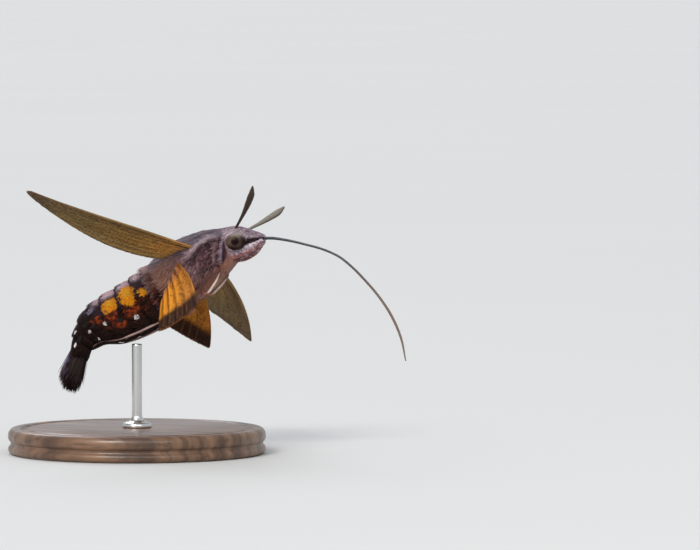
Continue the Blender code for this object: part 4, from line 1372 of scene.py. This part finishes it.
def make_wing_scales(name, wing, count, finish, slot):
    """Scales laid like tiles over both sides of a wing, and a fringe along its outer and rear edges."""
    reach = draw.uniform(0.0, WING_END, count * 3)
    across = draw.uniform(0.015, WING_REAR, count * 3)
    face = np.where(draw.random(count * 3) < 0.5, 1.0, -1.0)
    size = wing.shape
    wide = size["root_chord"] + (size["chord"] - size["root_chord"]) * reach ** size["fill"]
    kept = draw.random(count * 3) < wide / size["chord"]
    reach, across, face = (values[kept][:count] for values in (reach, across, face))
    _, tipward, rearward, upward = wing.frame(reach, across)
    here = wing.surface(reach, across, face)
    outward = upward * face[:, None]
    lean = 0.15 + 0.55 * across + draw.normal(0, 0.12, len(reach))
    way = tipward * np.cos(lean)[:, None] + rearward * np.sin(lean)[:, None] + outward * 0.03
    marks = {"reach": reach, "across": across, "face": face, "vein": wing.veins(reach, across)}
    flat = wing_flat_map(reach, across, face)
    hairy = 1 - ramp(reach * size["length"], 0.4, 2.6)
    sizes = WING_SCALE * draw.uniform(0.75, 1.2, len(reach)) * (1 + 3.2 * hairy)
    way = unit(way + outward * (0.12 * hairy * draw.random(len(reach)))[:, None])
    shape = {"droop": 0.02, "thick": 0.035, "stations": SCALE_STATIONS[:2]}
    roots, width = here - outward * 0.01, WING_SCALE * 0.72
    tufted_piece(name + "_scales", roots, way, outward, sizes, width, finish, slot, flat, marks, **shape)
    make_fringe(name, wing, finish, slot)


def make_fringe(name, wing, finish, slot):
    """Long scales in two rows along the outer and the rear edge."""
    outer = int(wing.shape["chord"] * FRINGE_PER_MM)
    rear = int(wing.shape["length"] * wing.shape["rear_at"] * FRINGE_PER_MM)
    reach = np.concatenate([np.full(outer, WING_END), np.linspace(0.06, WING_END, rear)])
    across = np.concatenate([np.linspace(0.02, WING_REAR, outer), np.full(rear, WING_REAR)])
    at_tip = np.concatenate([np.ones(outer), np.zeros(rear)])
    reach, across, at_tip = (np.tile(values, 2) for values in (reach, across, at_tip))
    face = np.repeat((0.4, -0.4), outer + rear)
    here, tipward, rearward, upward = wing.frame(reach, across)
    corner = ramp(across, 0.7, 1.0) * 0.5 + 0.12
    turn = np.where(at_tip > 0, corner, 1.25) + draw.normal(0, 0.06, len(reach))
    way = tipward * np.cos(turn)[:, None] + rearward * np.sin(turn)[:, None]
    outward = upward * np.sign(face)[:, None]
    marks = {"reach": reach, "across": across, "face": face * 2.5, "vein": np.ones(len(reach))}
    flat = wing_flat_map(reach, across, face * 2.5)
    sizes = FRINGE_LENGTH * draw.uniform(0.75, 1.1, len(reach))
    shape = {"droop": 0.0, "thick": 0.2}
    roots = here - way * 0.06 + upward * (face * MEMBRANE * 0.4)[:, None]
    tufted_piece(name + "_fringe", roots, way, outward, sizes, 0.12, finish, slot, flat, marks, **shape)


def forewing_colour(finish, scales):
    """Ochre and orange at the root, olive-brown beyond, with dark lines along it and broad dark bands."""
    reach, across = finish.given("reach"), finish.given("across")
    upper = finish.given("face").step(-0.2, 0.2)
    wander = finish.noise(0.45, detail=2) - 0.5
    at = reach + wander * 0.12
    colour = finish.mixed(WING_ORANGE, WING_OCHRE, at.step(0.04, 0.36))
    colour = finish.mixed(colour, WING_OLIVE, at.step(0.35, 0.7) * 0.9)
    colour = finish.mixed(colour, WING_SAND, across.near(0.86, 0.2) * (1 - at.step(0.6, 0.9)) * 0.5)
    colour = finish.mixed(colour, WING_BROWN, at.step(0.84, 0.97) * 0.85)
    top = finish.mixed(WING_TOP_PALE, WING_TOP_DARK, finish.noise(0.8).step(0.4, 0.65))
    colour = finish.mixed(colour, top, upper * 0.8)
    for centre, half, depth in FOREWING_BANDS:
        bent = (at - centre - (across - 0.5) ** 2 * 0.12).size()
        band = (1 - bent.step(half * 0.4, half)) * depth
        colour = finish.mixed(colour, WING_BAND, band * (0.2 + 1.4 * upper))
    colour = finish.mixed(colour, WING_EDGE, (1 - across.step(0.1, 0.5)) * at.step(0.1, 0.4) * 0.6)
    dark_streaks = finish.streaks(reach * 1.6, across * 7).step(0.45, 0.7)
    colour = finish.mixed(colour, WING_BROWN, dark_streaks * 0.35)
    pale_streaks = finish.streaks(reach * 1.3 + 5, across * 6).step(0.5, 0.7)
    colour = finish.mixed(colour, WING_GOLD, pale_streaks * 0.4)
    for centre, reached in FOREWING_LINES:
        line = across.near(centre, 0.03) * (1 - at.step(reached * 0.5, reached))
        colour = finish.mixed(colour, WING_LINE, line * 0.9)
    colour = finish.mixed(colour, WING_VEIN, finish.given("vein").step(0.3, 0.9) * 0.3)
    return wing_look(finish, colour, scales)


def hindwing_colour(finish, scales):
    """Rusty at the root, bright orange across the middle, and a broad dark outer border."""
    reach, across = finish.given("reach"), finish.given("across")
    wander = finish.noise(0.6, detail=2) - 0.5
    at = reach + wander * 0.1
    colour = finish.mixed(HIND_RUST, HIND_ORANGE, at.step(0.1, 0.4))
    colour = finish.mixed(colour, HIND_SHADE, (1 - (across + wander * 0.2).step(0.1, 0.5)) * 0.7)
    border = (at + across * 0.06).step(0.74, 0.86).larger((across + wander * 0.08).step(0.93, 1.0) * 0.6)
    colour = finish.mixed(colour, HIND_BORDER, border * 0.97)
    colour = finish.mixed(colour, HIND_VEIN, finish.given("vein").step(0.3, 0.9) * 0.35)
    return wing_look(finish, colour, scales)


def wing_look(finish, colour, scales):
    """The fine grain of a wing: each scale a little lighter or darker than the next."""
    if scales:
        colour = finish.shaded(colour, 0.92 + 0.16 * finish.given("draw"))
        # painted shade: each scale is a little darker towards its root
        colour = finish.shaded(colour, 0.94 + 0.1 * finish.given("tip"))
        return finish.colour(colour)
    finish.bump(finish.cells(9.0), 0.01)
    return finish.colour(finish.shaded(colour, 0.82 + 0.2 * finish.noise(8.0)))


def make_wings():
    """Four thin wings, each caught at its own moment of the beat."""
    looks = {}
    for word, painted in (("forewing", forewing_colour), ("hindwing", hindwing_colour)):
        membrane = Finish(word + "_membrane", roughness=0.65, specular_ior_level=0.15)
        scales = Finish(word + "_scales", roughness=0.7, specular_ior_level=0.12)
        looks[word] = (painted(membrane, False), painted(scales, True))
    for side, name in SIDES:
        for word, root, shape, count in (
            ("forewing", FOREWING_ROOT, FOREWING, 9200),
            ("hindwing", HINDWING_ROOT, HINDWING, 4900),
        ):
            tag = word + "_" + name
            wing = Wing(root, shape, WING_POSES[tag], side)
            make_membrane(tag, wing, looks[word][0], word + "_scales")
            make_wing_scales(tag, wing, count, looks[word][1], word + "_scales")


def make_side_tufts():
    """White tufts of blunt scales along the sides of the abdomen, with black ones between them."""
    for word, spots in SIDE_TUFTS.items():
        finish = Finish(word + "_tufts", roughness=0.6, specular_ior_level=0.25)
        # painted shade: each scale is darker at its root than at its tip
        finish.colour(finish.mixed(*TUFT_SHADES[word], finish.given("tip").step(0.1, 0.6)))
        distance, angle, size = (np.repeat(column, TUFT_SCALES) for column in np.array(spots).T)
        side = np.repeat((LEFT, RIGHT), len(size))
        spot_turn = draw.uniform(0, 2 * math.pi, len(side))
        spot_reach = np.sqrt(draw.random(len(side)))
        back, over = spot_reach * np.cos(spot_turn), spot_reach * np.sin(spot_turn)
        distance = np.tile(distance, 2) + TUFT_REACH * back
        angle = np.tile(angle, 2) + TUFT_TURN * over
        here, rearward, round_way, outward = skin_frame(distance, angle * side)
        fan = draw.normal(0, 0.18, (2, len(side)))
        if word == "white":  # round and fluffy, where the dark ones are flat brushes
            way = rearward * (0.35 + 0.8 * back + fan[0])[:, None] + outward
            way = way + round_way * (0.8 * over * side + fan[1])[:, None]
        else:
            way = rearward + outward * (0.7 + fan[0])[:, None] + round_way * fan[1][:, None]
        lengths = np.tile(size, 2) * draw.uniform(0.8, 1.1, len(side)) * (1 - 0.25 * spot_reach**2)
        flat = body_flat_map(distance, angle * side)
        shape = {"droop": 0.25, "thick": 0.2, "stations": SCALE_STATIONS}
        roots, way = here - outward * 0.1, unit(way)
        name, slot = "side_tufts_" + word, "dark_scales"
        tufted_piece(name, roots, way, outward, lengths, TUFT_WIDTH, finish, slot, flat, **shape)


def make_tail():
    """The tail fan: long narrow scales in many layers, dark with a painted violet sheen on the upper side.
    """
    finish = Finish("tail_scales", roughness=0.6, specular_ior_level=0.2)
    tip, layer = finish.given("tip"), finish.given("layer")
    # painted sheen: violet patches over the upper layers of scales
    bloom_and_sheen = layer.step(0.3, 0.8) * finish.noise(0.9).step(0.38, 0.6)
    colour = finish.mixed(TAIL_DARK, TAIL_VIOLET_SHEEN, bloom_and_sheen)
    colour = finish.mixed(colour, TAIL_PALE_TIP, layer.step(0.45, 0.9) * tip.step(0.8, 0.97) * 0.6)
    finish.colour(finish.shaded(colour, 0.75 + 0.5 * finish.given("draw")))
    centre, forward, up = (row[0] for row in spine_frame(np.array([TAIL_ROOT])))
    rearward = up * math.sin(TAIL_LEAN) - forward * math.cos(TAIL_LEAN)
    side = np.array((0, 1.0, 0))
    share = draw.uniform(-1, 1, TAIL_SCALES)
    layer = draw.uniform(-1, 1, TAIL_SCALES)
    turn = np.radians(TAIL_SPREAD) * share * (1 - 0.25 * layer**2)
    lean = 0.07 * layer + draw.normal(0, 0.02, TAIL_SCALES)
    way = rearward * np.cos(turn)[:, None] + side * np.sin(turn)[:, None] + up * lean[:, None]
    inner = draw.uniform(-0.7, 0.5, TAIL_SCALES)
    width = TAIL_HALF_WIDTH * np.sqrt(np.maximum(0, 1 - 0.6 * layer**2))
    roots = centre + side * (share * width)[:, None] + up * (layer * 0.72 + 0.02)[:, None]
    roots = roots + rearward * inner[:, None]
    lengths = TAIL_LENGTH * (1 - 0.2 * share**2) * (1 - 0.16 * np.maximum(layer, 0))
    lengths = lengths * draw.uniform(0.72, 1.0, TAIL_SCALES) - inner
    outward = up * np.where(layer > 0, 1, -1)[:, None] + side * (share * 0.5)[:, None]
    marks = {"layer": layer * 0.5 + 0.5}
    flat = np.stack([0.5 + 0.4 * share, 0.5 + 0.4 * layer], -1)
    piece = tufted_piece(
        "tail_scales",
        roots,
        unit(way),
        unit(outward),
        lengths,
        TAIL_WIDTH,
        finish,
        "dark_scales",
        flat,
        marks,
        droop=-0.02,
        thick=0.2,
        stations=TAIL_STATIONS,
    )
    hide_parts("tail_fan")


def turned_piece(name, profile, sides, finish, place, node):
    """A shape turned about the upright axis from a profile of radius and height, in mm."""
    profile = np.array(profile)
    turn = np.linspace(0, 2 * math.pi, sides, endpoint=False)
    rings = np.stack(
        [
            profile[:, :1] * np.cos(turn) + place[0],
            profile[:, :1] * np.sin(turn) + place[1],
            np.repeat(profile[:, 1:], sides, axis=1) + place[2],
        ],
        -1,
    )
    points, triangles = capped_loft(rings * MM)
    made = add_world_piece(name, points, triangles[:, ::-1], finish)
    made.data.set_sharp_from_angle(angle=math.radians(35))
    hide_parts(node)


def rounded(corners, radius, steps=5):
    """A profile with each inner corner rounded off."""
    corners = [np.array(c, float) for c in corners]
    points = [corners[0]]
    for before, here, after in zip(corners, corners[1:], corners[2:]):
        reach = min(radius, np.linalg.norm(before - here) * 0.45, np.linalg.norm(after - here) * 0.45)
        start = here + (before - here) / np.linalg.norm(before - here) * reach
        end = here + (after - here) / np.linalg.norm(after - here) * reach
        for t in np.linspace(0, 1, steps):
            points.append(start * (1 - t) ** 2 + here * 2 * t * (1 - t) + end * t * t)
    return points + [corners[-1]]


def make_stand():
    """A low turned base of dark wood, and a thin polished rod in a small round foot."""
    wood = Finish("stand_walnut", roughness=0.38, coat_weight=0.25, coat_roughness=0.15)
    rings = wood.noise(0.10, detail=4, stretch=(1, 9, 1))
    grain = wood.noise(1.1, detail=3, stretch=(0.12, 1, 1))
    colour = wood.mixed(WALNUT_DARK, WALNUT_PALE, rings.step(0.3, 0.7))
    colour = wood.mixed(colour, WALNUT_GRAIN, grain.step(0.52, 0.7) * 0.6)
    wood.colour(colour).roughness(0.32 + 0.2 * grain).bump(grain, 0.02)
    base = rounded(BASE_PROFILE, 0.45)
    turned_piece("stand_base_turned", base, 160, wood, (0, 0, 0), "stand_base")
    metal = Finish("stand_steel", roughness=0.26, metallic=1.0)
    drawn = (1, 1, 0.05)  # long marks up and down the rod
    metal.colour(metal.mixed(STEEL_DARK, STEEL_PALE, metal.noise(2.0, stretch=drawn)))
    metal.roughness(0.2 + 0.16 * metal.noise(1.5, stretch=drawn))
    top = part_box("stand_rod")[1].z / MM - BASE_HEIGHT
    rod = rounded(((0.02, top - 0.6), (ROD_RADIUS, top - 0.6), *ROD_PROFILE), 0.2)
    turned_piece("stand_rod_turned", rod, 64, metal, (0, 0, BASE_HEIGHT), "stand_rod")


def make_ground():
    """A plain pale floor."""
    finish = Finish("pale_floor", roughness=0.8)
    finish.colour(finish.mixed(FLOOR_PALE, FLOOR_DARK, finish.noise(0.004)))
    half = 12.0
    corners = np.array(((-half, -half, 0), (half, -half, 0), (half, half, 0), (-half, half, 0)))
    mesh = bpy.data.meshes.new("floor")
    mesh.from_pydata(corners.tolist(), [], [(0, 1, 2, 3)])
    mesh.materials.append(finish.material)
    floor = bpy.data.objects.new("floor", mesh)
    bpy.context.scene.collection.objects.link(floor)


def add_light(name, kind, energy, colour, direction, **settings):
    """A light that shines towards the moth from this direction."""
    data = bpy.data.lights.new(name, kind)
    data.energy = energy
    data.color = colour
    for word, value in settings.items():
        setattr(data, word, value)
    light = bpy.data.objects.new(name, data)
    away = Vector(direction).normalized()
    light.location = MOTH_PLACE + away * 0.5
    light.rotation_mode = "QUATERNION"
    light.rotation_quaternion = (-away).to_track_quat("-Z", "Y")
    light.visible_camera = False
    bpy.context.scene.collection.objects.link(light)


def make_studio():
    """Soft light from above with a paler fill all round."""
    world = bpy.data.worlds.new("studio")
    world.use_nodes = True
    background = next(n for n in world.node_tree.nodes if n.type == "BACKGROUND")
    background.inputs["Color"].default_value = (0.80, 0.83, 0.87, 1)
    background.inputs["Strength"].default_value = 0.75
    bpy.context.scene.world = world
    add_light("key", "SUN", 2.2, (1.0, 0.97, 0.93), (-0.1, -1.1, 0.8), angle=math.radians(22))
    add_light("rim", "SUN", 0.9, (0.90, 0.93, 1.0), (-0.6, 0.7, 0.9), angle=math.radians(30))
    add_light("glint", "AREA", 0.35, (1, 1, 1), (0.8, -0.9, 0.7), size=0.16)


def make_camera():
    """The camera at the photo's angle, framed as the photo is."""
    right = Vector((math.cos(VIEW_TURN), math.sin(VIEW_TURN), 0))
    back = Vector((math.sin(VIEW_TURN), -math.cos(VIEW_TURN), 0)) * math.cos(VIEW_RISE)
    back.z = math.sin(VIEW_RISE)
    up = back.cross(right)
    data = bpy.data.cameras.new("camera")
    data.sensor_width = 36
    data.lens = data.sensor_width * VIEW_DISTANCE / VIEW_WIDTH
    data.clip_start, data.clip_end = 0.01, 50
    camera = bpy.data.objects.new("camera", data)
    target = MOTH_PLACE + (right * VIEW_SHIFT[0] + up * VIEW_SHIFT[1]) * MM
    camera.location = target + back * VIEW_DISTANCE
    camera.rotation_mode = "QUATERNION"
    camera.rotation_quaternion = back.to_track_quat("Z", "Y")
    bpy.context.scene.collection.objects.link(camera)
    bpy.context.scene.camera = camera


def main():
    """Dresses the whole moth and its stand."""
    skin = body_finish("body_skin", fuzz=0, pale=0)
    coat = body_finish("body_coat", fuzz=0.5, pale=0.36)
    make_skin(skin)
    make_coat(coat)
    make_root_hair(coat)
    make_abdomen_scales(body_finish("abdomen_scales", fuzz=0.22, pale=0, root=1.0))
    make_eyes(eye_finish())
    make_eye_fringe(coat)
    make_palps()
    make_antennae()
    make_proboscis()
    make_legs()
    make_wings()
    make_side_tufts()
    make_tail()
    make_stand()
    make_ground()
    make_studio()
    make_camera()
    bpy.context.scene.view_settings.view_transform = "Standard"


main()
